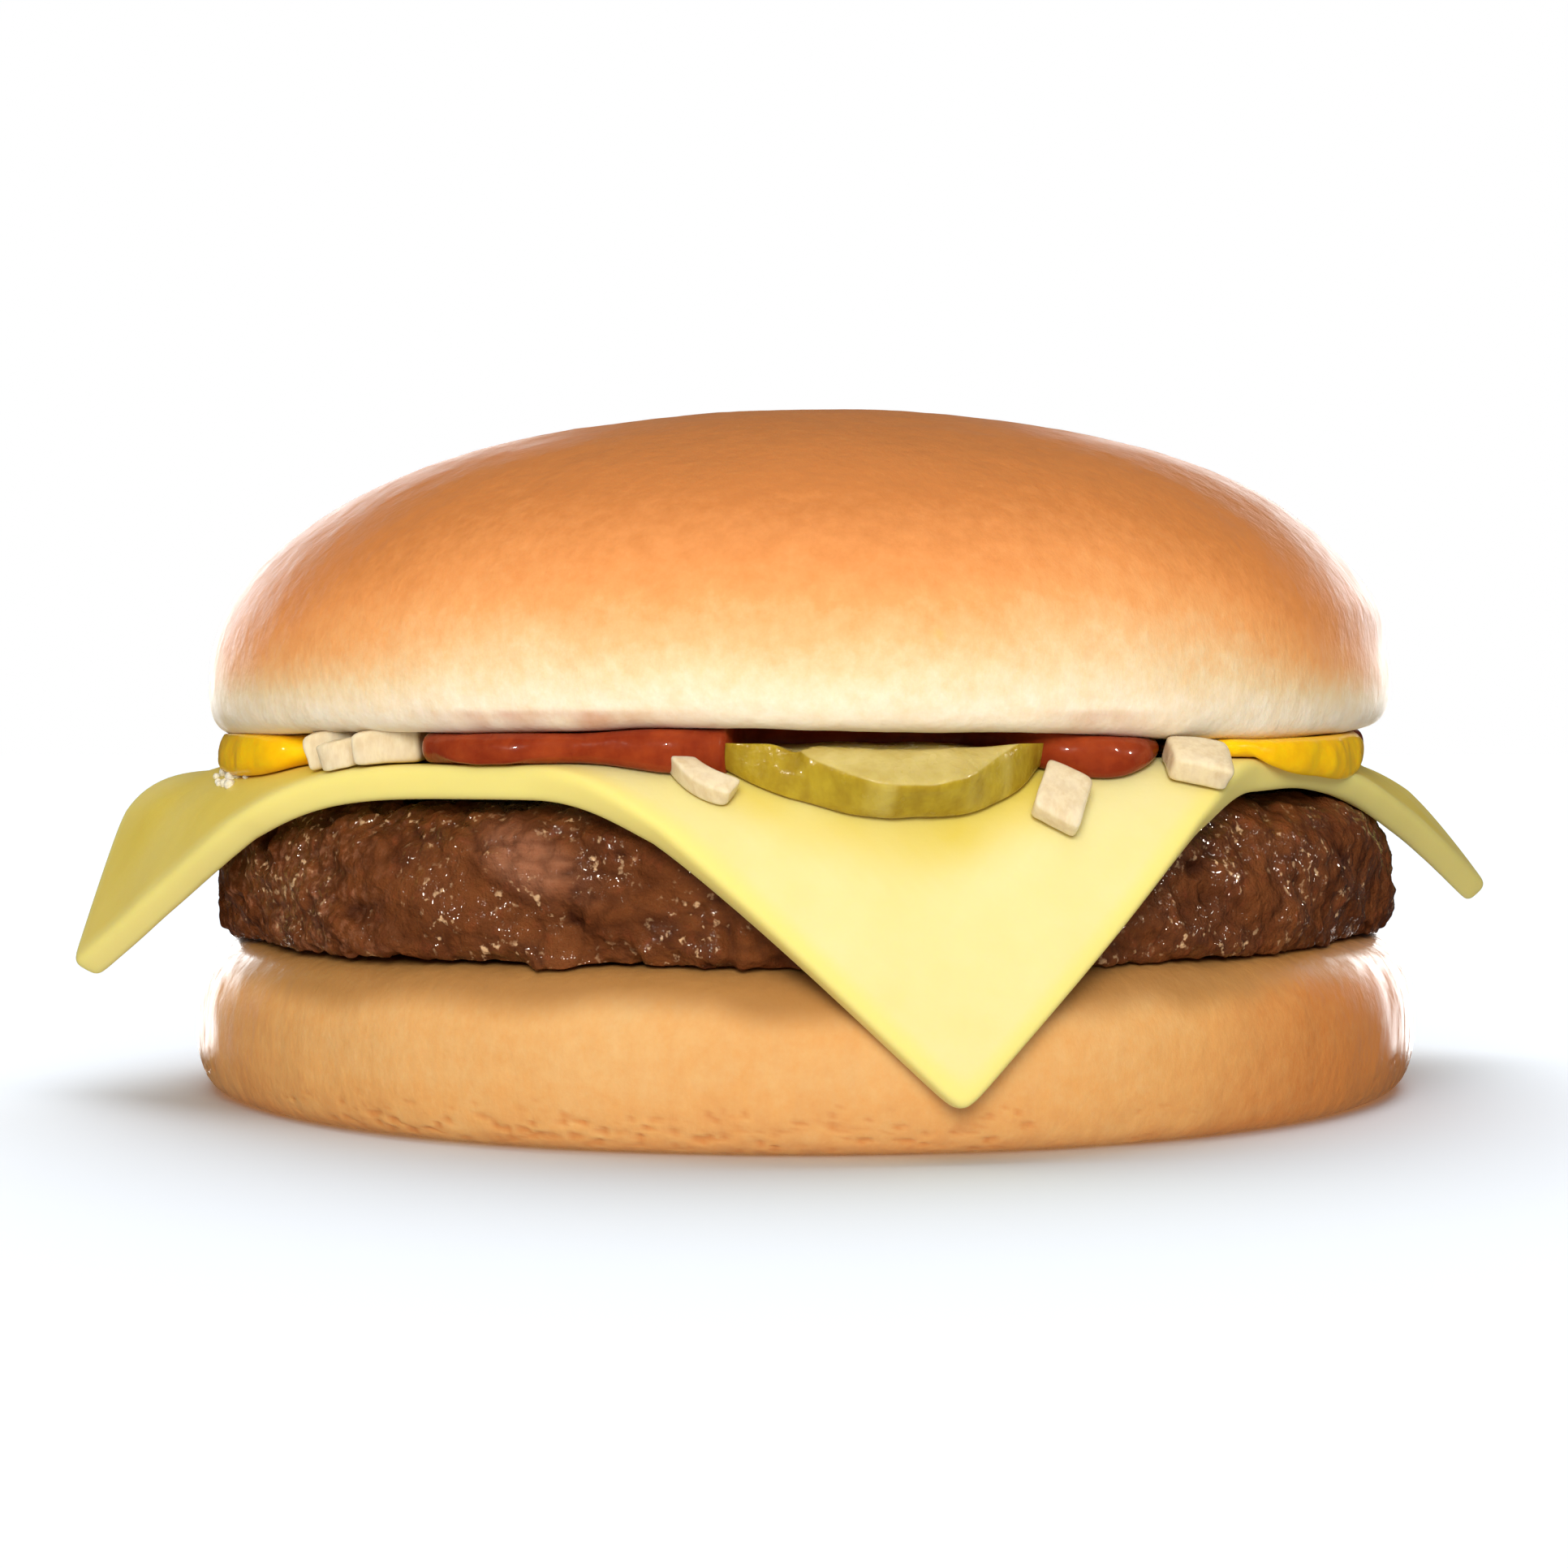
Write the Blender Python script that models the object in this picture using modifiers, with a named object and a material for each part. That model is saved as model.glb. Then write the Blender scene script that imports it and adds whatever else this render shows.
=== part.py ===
"""A plain fast-food cheeseburger, stacked from the heel of the bun up to the crown.

Metres, +Z up. The origin is the centre of the heel's flat base, the front is -Y and +X is to the right.
Every layer is a solid of its own, and rests on the one below with a hair's gap between them.
"""

import math

import bmesh
import bpy
import numpy as np
from mathutils import Matrix
from mathutils.bvhtree import BVHTree

# ---------------------------------------------------------------- driving sizes
GAP = 0.0003  # left between two layers that touch
TILT = 0.008  # the patty is a little thicker on the right, so what lies on it climbs by this much a metre

HEEL_RADIUS = 0.0480  # the bottom half of the bun at its widest
HEEL_BELLY = 0.0058  # height of that widest ring
HEEL_FOOT = 0.0452  # radius of the flat base
HEEL_TOP = 0.0121  # height of the cut face
HEEL_CUT = 0.0425  # where the cut face starts to round over
HEEL_SQUARENESS = 2.4  # exponent of the superellipse that rounds its upper rim

PATTY_RADIUS = 0.0467
PATTY_BELLY = 0.0165  # height of its widest ring
PATTY_BASE = HEEL_TOP + GAP
PATTY_TOP = 0.0227
PATTY_SHOULDER = 0.0395  # where its top starts to round over
PATTY_CURL = 0.0454  # the radius out to which its underside hugs the heel's rounded rim

SLICE_SIDE = 0.0882  # a square slice, laid corner to the front
SLICE_THICK = 0.0023
SLICE_BASE = 0.02313  # height of its underside over the middle of the patty
SLICE_TURN = math.radians(12.3)  # how far the front corner is turned to the right
SLICE_SHIFT = np.array([-0.0004, -0.0009])
SLICE_CORNER = 0.0014  # radius of its corners

FRONT = np.array([math.sin(SLICE_TURN), -math.cos(SLICE_TURN)])  # from the middle to the front corner
RIGHT = np.array([math.cos(SLICE_TURN), math.sin(SLICE_TURN)])

PICKLE_RADIUS = 0.0116
PICKLE_THICK = 0.0029
PICKLE_CENTRE = 0.0343 * FRONT - 0.0023 * RIGHT

CROWN_RADIUS = 0.0465  # the top half of the bun at its widest
CROWN_BELLY = 0.0312
CROWN_BASE = 0.0277  # height of the cut face at the rim
CROWN_TOP = 0.0523
CROWN_SQUARENESS = 2.17  # exponent of the dome's superellipse
POCKET_DEPTH = 0.0015  # how far the pickle is pressed up into the soft cut face
POCKET_EDGE = 0.0040  # how wide the slope round that dent is
POCKET_RIM = 0.0442  # and the radius that it stays inside
RIM_LIFT = 0.0007  # how far a dice of onion lifts the crown's rim
RIM_LIFT_REACH = 0.0085  # and how far round it that shows
CROWN_LEAN = np.array([0.0012, 0.0])  # the dome's top is off centre

# A dice of onion: its name, where it lies on the flat slice (degrees round, and radius), its size round,
# outwards and up, its twist in degrees, and how much a strip is bent.
DICES = [
    ("onion_left_1", 219.8, 0.0436, (0.0032, 0.0032, 0.0021), -38, 0.0),
    ("onion_left_2", 228.6, 0.0430, (0.0046, 0.0030, 0.0020), 36, 0.0),
    ("onion_front", 260.8, 0.0447, (0.0054, 0.0019, 0.0015), -26, 0.0009),
    ("onion_right_1", 291.4, 0.0456, (0.0035, 0.0031, 0.0017), 30, 0.0),
    ("onion_right_2", 306.8, 0.0450, (0.0044, 0.0034, 0.0022), -30, 0.0),
    ("onion_back_1", 60.0, 0.0430, (0.0046, 0.0030, 0.0020), -10, 0.0),
    ("onion_back_2", 96.0, 0.0434, (0.0036, 0.0032, 0.0018), 26, 0.0),
    ("onion_back_3", 143.0, 0.0430, (0.0050, 0.0028, 0.0020), 6, 0.0),
]

SAUCE_RADIUS = 0.0438  # how far the ketchup is squeezed out

FILLING_BASE = SLICE_BASE + SLICE_THICK + GAP
FILLING_TOP = CROWN_BASE - GAP


# ---------------------------------------------------------------- tools
def start_empty():
    for leftover in list(bpy.data.objects):
        bpy.data.objects.remove(leftover)
    collection = bpy.data.collections.new("cheeseburger")
    bpy.context.scene.collection.children.link(collection)
    return collection


BURGER = start_empty()


def finish_of(name, colour, roughness):
    """A plain Principled material, never metallic."""
    made = bpy.data.materials.new(name)
    made.use_nodes = True
    shader = made.node_tree.nodes["Principled BSDF"]
    shader.inputs["Base Color"].default_value = (*colour, 1.0)
    shader.inputs["Roughness"].default_value = roughness
    shader.inputs["Metallic"].default_value = 0.0
    return made


BUN = finish_of("bun", (0.70, 0.36, 0.13), 0.55)
MEAT = finish_of("beef", (0.13, 0.045, 0.02), 0.40)
CHEESE = finish_of("cheese", (0.95, 0.75, 0.25), 0.35)
KETCHUP = finish_of("ketchup", (0.40, 0.03, 0.01), 0.20)
MUSTARD = finish_of("mustard", (0.90, 0.50, 0.01), 0.25)
PICKLE = finish_of("pickle", (0.36, 0.28, 0.04), 0.30)
ONION = finish_of("onion", (0.85, 0.72, 0.47), 0.30)


def add(name, mesh, material):
    made = bpy.data.objects.new(name, mesh)
    made.data.materials.clear()
    made.data.materials.append(material)
    BURGER.objects.link(made)
    return made


def as_mesh(made):
    """Replaces an object's mesh and modifiers with the mesh that they make."""
    bpy.context.view_layer.update()
    graph = bpy.context.evaluated_depsgraph_get()
    made.data = bpy.data.meshes.new_from_object(made.evaluated_get(graph))
    made.modifiers.clear()
    return made


def reshape(made, rule):
    """Moves all vertices at once: rule takes their places as an n by 3 array and returns the new ones."""
    places = np.empty(len(made.data.vertices) * 3)
    made.data.vertices.foreach_get("co", places)
    made.data.vertices.foreach_set("co", rule(places.reshape(-1, 3)).ravel())
    made.data.update()
    return made


def smooth(made, crease=math.radians(50)):
    made.data.shade_smooth()
    made.data.set_sharp_from_angle(angle=crease)
    return made


def turned(name, profile, steps, material):
    """A solid turned round Z from (radius, height) points, from the top, down the outside, to below."""
    mesh = bpy.data.meshes.new(name)
    links = [(i, i + 1) for i in range(len(profile) - 1)]
    mesh.from_pydata([(r, 0.0, z) for r, z in profile], links, [])
    made = add(name, mesh, material)
    screw = made.modifiers.new("turn", "SCREW")
    screw.steps = screw.render_steps = steps
    screw.use_merge_vertices = True
    screw.merge_threshold = 0.00001
    return as_mesh(made)


def polar(places):
    return np.hypot(places[:, 0], places[:, 1]), np.arctan2(places[:, 1], places[:, 0])


def from_polar(radius, angle, height):
    return np.stack([radius * np.cos(angle), radius * np.sin(angle), height], axis=1)


def quarter(count, squareness):
    """(across, up) pairs from (0, 1) to (1, 0) along a quarter of a superellipse."""
    angles = np.linspace(0.0, math.pi / 2, count + 1)
    return [(math.sin(a) ** (2 / squareness), max(math.cos(a), 0.0) ** (2 / squareness)) for a in angles]


def ease(share):
    """0 up to share 0, 1 from share 1 on, and a smooth S between them."""
    held = np.clip(share, 0.0, 1.0)
    return held * held * (3 - 2 * held)


def bump(angle, middle, half_width):
    """1 at the middle angle, falling smoothly to 0 at half_width either side."""
    off = np.abs((angle - middle + math.pi) % (2 * math.pi) - math.pi)
    return np.where(off < half_width, 0.5 + 0.5 * np.cos(np.pi * off / half_width), 0.0)


# ---------------------------------------------------------------- the bun
def heel_swell(angle):
    """How much wider than a true circle the heel is, round about."""
    return 0.0004 * np.cos(2 * angle + 0.6) + 0.0003 * np.cos(3 * angle - 1.1)


def heel_height(radius):
    """Height of the heel's upper surface at a radius inside its belly."""
    share = np.clip((radius - HEEL_CUT) / (HEEL_RADIUS - HEEL_CUT), 0.0, 1.0)
    return HEEL_BELLY + (HEEL_TOP - HEEL_BELLY) * (1 - share**HEEL_SQUARENESS) ** (1 / HEEL_SQUARENESS)


def heel():
    """Flat base, full belly, and a cut face whose rim rounds over."""
    shoulder = [
        (HEEL_CUT + (HEEL_RADIUS - HEEL_CUT) * across, HEEL_BELLY + (HEEL_TOP - HEEL_BELLY) * up)
        for across, up in quarter(6, HEEL_SQUARENESS)
    ]
    foot = [
        (HEEL_FOOT + (HEEL_RADIUS - HEEL_FOOT) * across, HEEL_BELLY * (1 - up))
        for across, up in reversed(quarter(5, 2.3)[:-1])
    ]
    made = turned("bun_heel", [(0.0, HEEL_TOP), *shoulder, *foot, (0.0, 0.0)], 48, BUN)

    def unevenness(places):
        radius, angle = polar(places)
        share = np.clip(places[:, 2] / HEEL_BELLY, 0, 1) * (radius > 0.9 * HEEL_CUT)
        return from_polar(radius + share * heel_swell(angle), angle, places[:, 2])

    return smooth(reshape(made, unevenness))


CROWN_CORNER = 0.0026  # how far its lower edge turns in


def pickle_dent(flat):
    """1 over the pickle, easing off round it and towards the crown's rim, which stays down in front."""
    radius = np.hypot(*flat.T)
    from_pickle = np.hypot(*(flat - PICKLE_CENTRE).T)
    over_pickle = ease((PICKLE_RADIUS + 1.2 * POCKET_EDGE - from_pickle) / POCKET_EDGE)
    return over_pickle * ease((POCKET_RIM - radius) / POCKET_EDGE)


def dice_lift(flat):
    """1 over each dice of onion, easing off to 0 round it."""
    lift = np.zeros(len(flat))
    for _, degrees, out, _, _, _ in DICES:
        angle = math.radians(degrees)
        from_dice = np.hypot(*(flat - out * np.array([math.cos(angle), math.sin(angle)])).T)
        lift = np.maximum(lift, ease(1.5 - 1.5 * from_dice / RIM_LIFT_REACH))
    return lift


def crown():
    """A superellipse dome on a low straight rim, with a dent in its cut face where the pickle presses."""
    dome = [
        (CROWN_RADIUS * across, CROWN_BELLY + (CROWN_TOP - CROWN_BELLY) * up)
        for across, up in quarter(11, CROWN_SQUARENESS)
    ]
    rim = [
        (CROWN_RADIUS - CROWN_CORNER * (1 - across), CROWN_BASE + (CROWN_BELLY - CROWN_BASE) * (1 - up))
        for across, up in reversed(quarter(4, 2.6)[:-1])
    ]
    face = [(r, CROWN_BASE) for r in (0.0420, 0.0400, 0.0365, 0.0310, 0.0240, 0.0150, 0.0)]
    made = turned("bun_crown", [*dome, *rim, *face], 48, BUN)

    def lean(places):
        radius, angle = polar(places)
        rise = np.clip((places[:, 2] - CROWN_BELLY) / (CROWN_TOP - CROWN_BELLY), 0, 1)
        edge = np.clip((radius - 0.040) / 0.006, 0, 1) * (1 - rise)
        swell = (0.0003 * np.cos(2 * angle - 0.4) + 0.0003 * np.cos(5 * angle + 0.9)) * edge
        height = places[:, 2] + TILT * places[:, 0] * (1 - rise)
        under = places[:, 2] < CROWN_BASE + 0.0001
        height += POCKET_DEPTH * pickle_dent(places[:, :2]) * under
        low = 1 - ease((places[:, 2] - CROWN_BASE) / (CROWN_BELLY - CROWN_BASE))
        height += RIM_LIFT * dice_lift(places[:, :2]) * low
        moved = from_polar(radius + swell, angle, height)
        moved[:, :2] += rise[:, None] ** 2 * CROWN_LEAN
        return moved

    return smooth(reshape(made, lean))


# ---------------------------------------------------------------- the patty
def press_down(made, underside):
    """Moves the points that would touch the cheese back along its normal, so that it lies on the meat."""
    clearance = 1.5 * GAP
    for vert in made.data.vertices:
        place, normal, _, _ = underside.find_nearest(vert.co)
        if normal.z < 0:
            normal = -normal
        off = vert.co - place
        height = off.dot(normal)
        beside = (off - height * normal).length
        hold = max(0.0, 1.0 - beside / 0.003)
        vert.co -= normal * max(0.0, height + clearance) * hold
    made.data.update()
    return made


def patty(underside):
    """A thick pressed disc, lumpy all round as ground beef is, whose lower rim curls down over the heel."""
    shoulder_width = PATTY_RADIUS - PATTY_SHOULDER
    upper = [
        (PATTY_SHOULDER + shoulder_width * across, PATTY_BELLY + (PATTY_TOP - PATTY_BELLY) * up)
        for across, up in quarter(7, 2.5)
    ]
    hem = heel_height(PATTY_CURL) + 2 * GAP
    lower = [
        (PATTY_CURL + (PATTY_RADIUS - PATTY_CURL) * across, hem + (PATTY_BELLY - hem) * (1 - up))
        for across, up in reversed(quarter(4, 2.5)[:-1])
    ]
    hugging = [(r, heel_height(r) + 2 * GAP) for r in (0.0446, 0.0436, HEEL_CUT)]
    profile = [(0.0, PATTY_TOP), *upper, *lower, *hugging, (0.0, PATTY_BASE + GAP)]
    made = turned("beef_patty", profile, 64, MEAT)

    def lumps(places):
        radius, angle = polar(places)
        level = (places[:, 2] - PATTY_BELLY) / (PATTY_TOP - PATTY_BELLY)
        rim = np.clip(radius / PATTY_RADIUS, 0, 1) ** 6
        coarse = 0.00045 * np.cos(5 * angle + 1.3 * level + 0.4) + 0.00035 * np.cos(9 * angle - 2.1 * level)
        fine = 0.00040 * np.cos(17 * angle + 3 * level) * np.cos(4 * level + 6 * angle)
        out = radius + rim * (coarse + fine - 0.0004)
        over_heel = heel_height(out - heel_swell(angle)) + 1.5 * GAP
        upwards = places[:, 2] + TILT * places[:, 0] * (level > 0) * (1 - rim)
        return from_polar(out, angle, np.where(level < 0, np.maximum(upwards, over_heel), upwards))

    return smooth(press_down(reshape(made, lumps), underside))


# ---------------------------------------------------------------- the cheese
# Each corner folds down across its own diagonal. The fold starts at distance start from the middle, plus
# skew for each metre to the side; the slope grows over about reach metres of cheese, the more suddenly the
# higher sharpness is, to the angle steepest.
FOLDS = [
    dict(way=FRONT, side=RIGHT, start=0.0377, skew=0.04, reach=0.0077, sharpness=1.3, steepest=84),
    dict(way=RIGHT, side=-FRONT, start=0.0436, skew=0.48, reach=0.0050, sharpness=1.2, steepest=50),
    dict(way=-FRONT, side=-RIGHT, start=0.0390, skew=0.0, reach=0.0085, sharpness=1.6, steepest=74),
    dict(way=-RIGHT, side=FRONT, start=0.0376, skew=-0.28, reach=0.0097, sharpness=4.0, steepest=62.7),
]
FOLD_SAMPLES = (np.arange(60) + 0.5) / 60
SAG_START = 0.0430  # past this radius a straight edge of the slice sags a little
SAG = 30.0  # by this much for each metre squared


def drape(flat, above):
    """Where points of the flat slice end up, lifted by above along the cheese's upward normal."""
    placed = np.column_stack([flat, np.zeros(len(flat))])
    normal = np.tile([0.0, 0.0, 1.0], (len(flat), 1))
    for fold in FOLDS:
        start = fold["start"] + fold["skew"] * (flat @ fold["side"])
        arc = np.maximum(flat @ fold["way"] - start, 0.0)
        steepest = math.radians(fold["steepest"])
        along = arc[:, None] * FOLD_SAMPLES / fold["reach"]
        slope = steepest * (1 - np.exp(-(along ** fold["sharpness"])))
        end_slope = steepest * (1 - np.exp(-((arc / fold["reach"]) ** fold["sharpness"])))
        placed[:, :2] += (arc * (np.cos(slope).mean(axis=1) - 1))[:, None] * fold["way"]
        placed[:, 2] -= arc * np.sin(slope).mean(axis=1)
        folded = arc > 0
        normal[folded, :2] = np.sin(end_slope[folded])[:, None] * fold["way"]
        normal[folded, 2] = np.cos(end_slope[folded])
    overhang = np.clip(np.hypot(flat[:, 0], flat[:, 1]) - SAG_START, 0.0, 0.005)
    hanging = np.clip(1 + placed[:, 2] / 0.003, 0.0, 1.0)
    placed[:, 2] += SLICE_BASE + TILT * flat[:, 0] - SAG * overhang**2 * hanging
    return placed + normal * np.reshape(above, (-1, 1))


def rounded_corners(flat, half, radius):
    """Turns the square blocks at a square grid's corners into quarter discs."""
    inner = half - radius
    past = np.maximum(np.abs(flat) - inner, 0.0)
    reach = past.max(axis=1, keepdims=True)
    length = np.maximum(np.hypot(past[:, :1], past[:, 1:]), 1e-9)
    corner = (past > 1e-9).all(axis=1, keepdims=True)
    pulled = np.sign(flat) * (inner + past * reach / length)
    return np.where(corner, pulled, flat)


def cheese_slice():
    """A square grid with round corners, turned, draped and thickened upwards. Returns its underside."""
    half = SLICE_SIDE / 2
    cells = 22
    sheet = bmesh.new()
    bmesh.ops.create_grid(sheet, x_segments=cells, y_segments=cells, size=half)
    mesh = bpy.data.meshes.new("cheese_slice")
    sheet.to_mesh(mesh)
    sheet.free()
    made = add("cheese_slice", mesh, CHEESE)

    def laid(places):
        flat = rounded_corners(places[:, :2], half, SLICE_CORNER)
        diagonal = (RIGHT - FRONT) / math.sqrt(2)
        across = (RIGHT + FRONT) / math.sqrt(2)
        turned_flat = flat[:, :1] * across + flat[:, 1:] * diagonal + SLICE_SHIFT
        return drape(turned_flat, np.zeros(len(flat)))

    reshape(made, laid)
    bpy.context.view_layer.update()
    underside = BVHTree.FromObject(made, bpy.context.evaluated_depsgraph_get())
    thicken = made.modifiers.new("thickness", "SOLIDIFY")
    thicken.thickness = SLICE_THICK
    thicken.offset = 1.0
    smooth(as_mesh(made))
    return underside


# ---------------------------------------------------------------- the filling
def pickle():
    """One round slice of gherkin that lies over the cheese's front fold and bends with it."""
    upper = [(PICKLE_RADIUS * share, 1.0) for share in (0.0, 0.3, 0.55, 0.78, 0.96)]
    upper.append((PICKLE_RADIUS, 0.85))
    lower = [(r, 1.0 - level) for r, level in reversed(upper)]
    made = turned("pickle_slice", [*upper, *lower], 28, PICKLE)

    def laid(places):
        radius, angle = polar(places)
        wavy = radius * (1 + 0.018 * np.cos(3 * angle + 1.0) + 0.012 * np.cos(7 * angle))
        flat = PICKLE_CENTRE + wavy[:, None] * np.column_stack([np.cos(angle), np.sin(angle)])
        return drape(flat, SLICE_THICK + GAP + places[:, 2] * PICKLE_THICK)

    return smooth(reshape(made, laid))


DICE_BEVEL = 0.0003


def dice_mesh(name, size, twist, bend):
    """A bevelled box round the origin, twisted about Z and bent sideways into a shallow arc."""
    block = bmesh.new()
    bmesh.ops.create_cube(block, size=1.0)
    bmesh.ops.scale(block, vec=size, verts=block.verts)
    if bend:
        long_edges = [e for e in block.edges if abs(e.verts[0].co.x - e.verts[1].co.x) > 0.5 * size[0]]
        bmesh.ops.subdivide_edges(block, edges=long_edges, cuts=4)
        for vert in block.verts:
            vert.co.y += bend * (1 - (2 * vert.co.x / size[0]) ** 2)
    sharp = [e for e in block.edges if e.calc_face_angle(0.0) > 1.0]
    bmesh.ops.bevel(block, geom=sharp, offset=DICE_BEVEL, segments=1, affect="EDGES")
    bmesh.ops.rotate(block, matrix=Matrix.Rotation(math.radians(twist), 3, "Z"), verts=block.verts)
    mesh = bpy.data.meshes.new(name)
    block.to_mesh(mesh)
    block.free()
    return mesh


def onion():
    """Dices that lie on the cheese along the rim, two of them slipped out onto its front fold."""
    for name, degrees, radius, size, twist, bend in DICES:
        made = add(name, dice_mesh(name, size, twist, bend), ONION)
        angle = math.radians(degrees)
        outwards = np.array([math.cos(angle), math.sin(angle)])
        round_about = np.array([outwards[1], -outwards[0]])

        def laid(places, radius=radius, outwards=outwards, round_about=round_about, size=size):
            flat = (radius + places[:, 1:2]) * outwards + places[:, :1] * round_about
            return drape(flat, SLICE_THICK + GAP + size[2] / 2 + places[:, 2])

        reshape(made, laid)


# A dab of mustard: name, middle angle and half its spread in degrees, radius of its middle, half its width.
DABS = [
    ("mustard_left", 194.0, 17.0, 0.0400, 0.0046),
    ("mustard_right", 334.0, 21.5, 0.0400, 0.0046),
]


def mustard():
    """Long dabs pressed flat, bent round with the rim of the burger."""
    for name, degrees, spread, radius, half_width in DABS:
        ball = bmesh.new()
        bmesh.ops.create_uvsphere(ball, u_segments=20, v_segments=8, radius=1.0)
        mesh = bpy.data.meshes.new(name)
        ball.to_mesh(mesh)
        ball.free()
        made = add(name, mesh, MUSTARD)

        def laid(places, degrees=degrees, spread=spread, radius=radius, half_width=half_width):
            angle = np.radians(degrees - spread * places[:, 0])
            out = radius + half_width * places[:, 1]
            squared = np.sign(places[:, 2]) * np.abs(places[:, 2]) ** 0.6
            middle = (FILLING_BASE + FILLING_TOP) / 2
            height = middle + squared * (FILLING_TOP - FILLING_BASE) / 2 + TILT * out * np.cos(angle)
            return from_polar(out, angle, height)

        smooth(reshape(made, laid))


def drawn_in(angle, reach, middle, half_spread, limit, strength):
    """Pulls an outline in to limit near one angle, and lets it out again on either side."""
    near = np.clip(strength * bump(angle, math.radians(middle), half_spread), 0, 1)
    return reach + (np.minimum(limit, reach) - reach) * near


def ketchup():
    """One pressed pool, drawn in round the pickle, the onion at the rim and the mustard."""
    thick = FILLING_TOP - FILLING_BASE
    edge = [
        (SAUCE_RADIUS - thick / 2 * (1 - across), FILLING_BASE + thick / 2 * (1 + up))
        for across, up in quarter(3, 2.2)
    ]
    under = [(r, FILLING_TOP + FILLING_BASE - z) for r, z in reversed(edge[:-1])]
    rings = [SAUCE_RADIUS * share for share in (0.0, 0.75)]
    top = [(r, FILLING_TOP) for r in rings]
    base = [(r, FILLING_BASE) for r in reversed(rings)]
    made = turned("ketchup", [*top, *edge, *under, *base], 80, KETCHUP)

    def outline(angle):
        reach = SAUCE_RADIUS + 0.0006 * np.cos(7 * angle + 1.0) + 0.0004 * np.cos(12 * angle)
        for _, degrees, radius, size, _, _ in DICES:
            half_spread = 0.55 * size[0] / radius + math.radians(6.0)
            reach = drawn_in(angle, reach, degrees, half_spread, radius - 0.6 * size[1] - 2 * GAP, 3.0)
        for _, degrees, spread, radius, half_width in DABS:
            half_spread = math.radians(spread + 6.0)
            reach = drawn_in(angle, reach, degrees, half_spread, radius - half_width - 2 * GAP, 4.0)
        far = math.hypot(*PICKLE_CENTRE)
        off = angle - math.atan2(PICKLE_CENTRE[1], PICKLE_CENTRE[0])
        hole = PICKLE_RADIUS * 1.04 + 2 * GAP
        inside = np.maximum(hole**2 - (far * np.sin(off)) ** 2, 0.0)
        near_side = far * np.cos(off) - np.sqrt(inside)
        return np.where((inside > 0) & (np.cos(off) > 0), np.minimum(reach, near_side), reach)

    def laid(places):
        radius, angle = polar(places)
        return from_polar(radius * outline(angle) / SAUCE_RADIUS, angle, places[:, 2] + TILT * places[:, 0])

    return smooth(reshape(made, laid))


heel()
patty(cheese_slice())
ketchup()
mustard()
pickle()
onion()
crown()
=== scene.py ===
import math

import bpy
import numpy as np
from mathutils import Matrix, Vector


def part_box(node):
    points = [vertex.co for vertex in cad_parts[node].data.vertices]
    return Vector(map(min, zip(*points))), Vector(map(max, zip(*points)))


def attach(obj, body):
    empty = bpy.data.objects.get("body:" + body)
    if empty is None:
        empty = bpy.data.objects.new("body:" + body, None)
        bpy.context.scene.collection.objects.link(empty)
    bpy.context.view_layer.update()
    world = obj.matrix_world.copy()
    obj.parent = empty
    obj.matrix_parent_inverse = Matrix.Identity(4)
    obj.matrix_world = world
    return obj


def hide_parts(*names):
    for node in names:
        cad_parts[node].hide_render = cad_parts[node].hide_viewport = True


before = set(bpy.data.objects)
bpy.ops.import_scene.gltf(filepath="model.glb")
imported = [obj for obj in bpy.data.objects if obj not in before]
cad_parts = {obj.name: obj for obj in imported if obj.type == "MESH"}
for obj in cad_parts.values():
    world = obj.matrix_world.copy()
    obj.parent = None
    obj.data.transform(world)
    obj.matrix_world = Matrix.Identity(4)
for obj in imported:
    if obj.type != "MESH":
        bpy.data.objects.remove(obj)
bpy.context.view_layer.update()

# ---------------------------------------------------------------- bun heel
# The bottom half of a soft white bun, baked in a pan and sliced across. Its side is thin golden crust,
# redder and pitted near the pan, and the cut face above is pale crumb. It lies loose under the patty.
HEEL_LOW, HEEL_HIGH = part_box("bun_heel")
HEEL_RADIUS = (HEEL_HIGH.x - HEEL_LOW.x) / 2 - 0.0003
HEEL_FOOT = HEEL_RADIUS - 0.0026
HEEL_CUT = HEEL_RADIUS - 0.0055
HEEL_TOP = HEEL_HIGH.z
HEEL_BELLY = 0.48 * HEEL_TOP
HEEL_SQUARENESS = 2.25
FOOT_SQUARENESS = 2.4
PIT_SIZE = 0.0014
PIT_DEPTH = 0.00016
CRACK_DEPTH = 0.00012

CRUMB = (0.74, 0.55, 0.33)
PALE_CRUST = (0.72, 0.47, 0.20)
GOLD_CRUST = (0.68, 0.33, 0.10)
PAN_CRUST = (0.58, 0.20, 0.045)
# The colour of the painted shadow of the patty on the heel.
JUICY_CRUST = (0.42, 0.195, 0.054)


def scattered(cell, seed):
    """One random number from -1 to 1 for each cell: its three whole numbers multiplied, summed, stirred."""
    cell = cell.astype(np.int64).astype(np.uint32)
    n = cell[..., 0] * np.uint32(374761393) + cell[..., 1] * np.uint32(668265263)
    n = n + cell[..., 2] * np.uint32(2246822519) + np.uint32(seed * 3266489 + 97)
    n = (n ^ (n >> np.uint32(15))) * np.uint32(2246822519)
    n = (n ^ (n >> np.uint32(13))) * np.uint32(3266489917)
    n = n ^ (n >> np.uint32(16))
    return (n & np.uint32(0xFFFFFF)).astype(float) / 0x7FFFFF - 1.0


def billows(points, size, seed=0):
    """Smooth swells: random numbers at the corners of cubes of that size, blended between with S-curves."""
    spot = points / size
    corner = np.floor(spot)
    share = spot - corner
    share = share * share * (3 - 2 * share)
    total = np.zeros(points.shape[:-1])
    for step in np.ndindex(2, 2, 2):
        weight = np.prod(np.where(np.array(step) == 1, share, 1 - share), axis=-1)
        total += weight * scattered(corner + np.array(step), seed)
    return total


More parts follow.
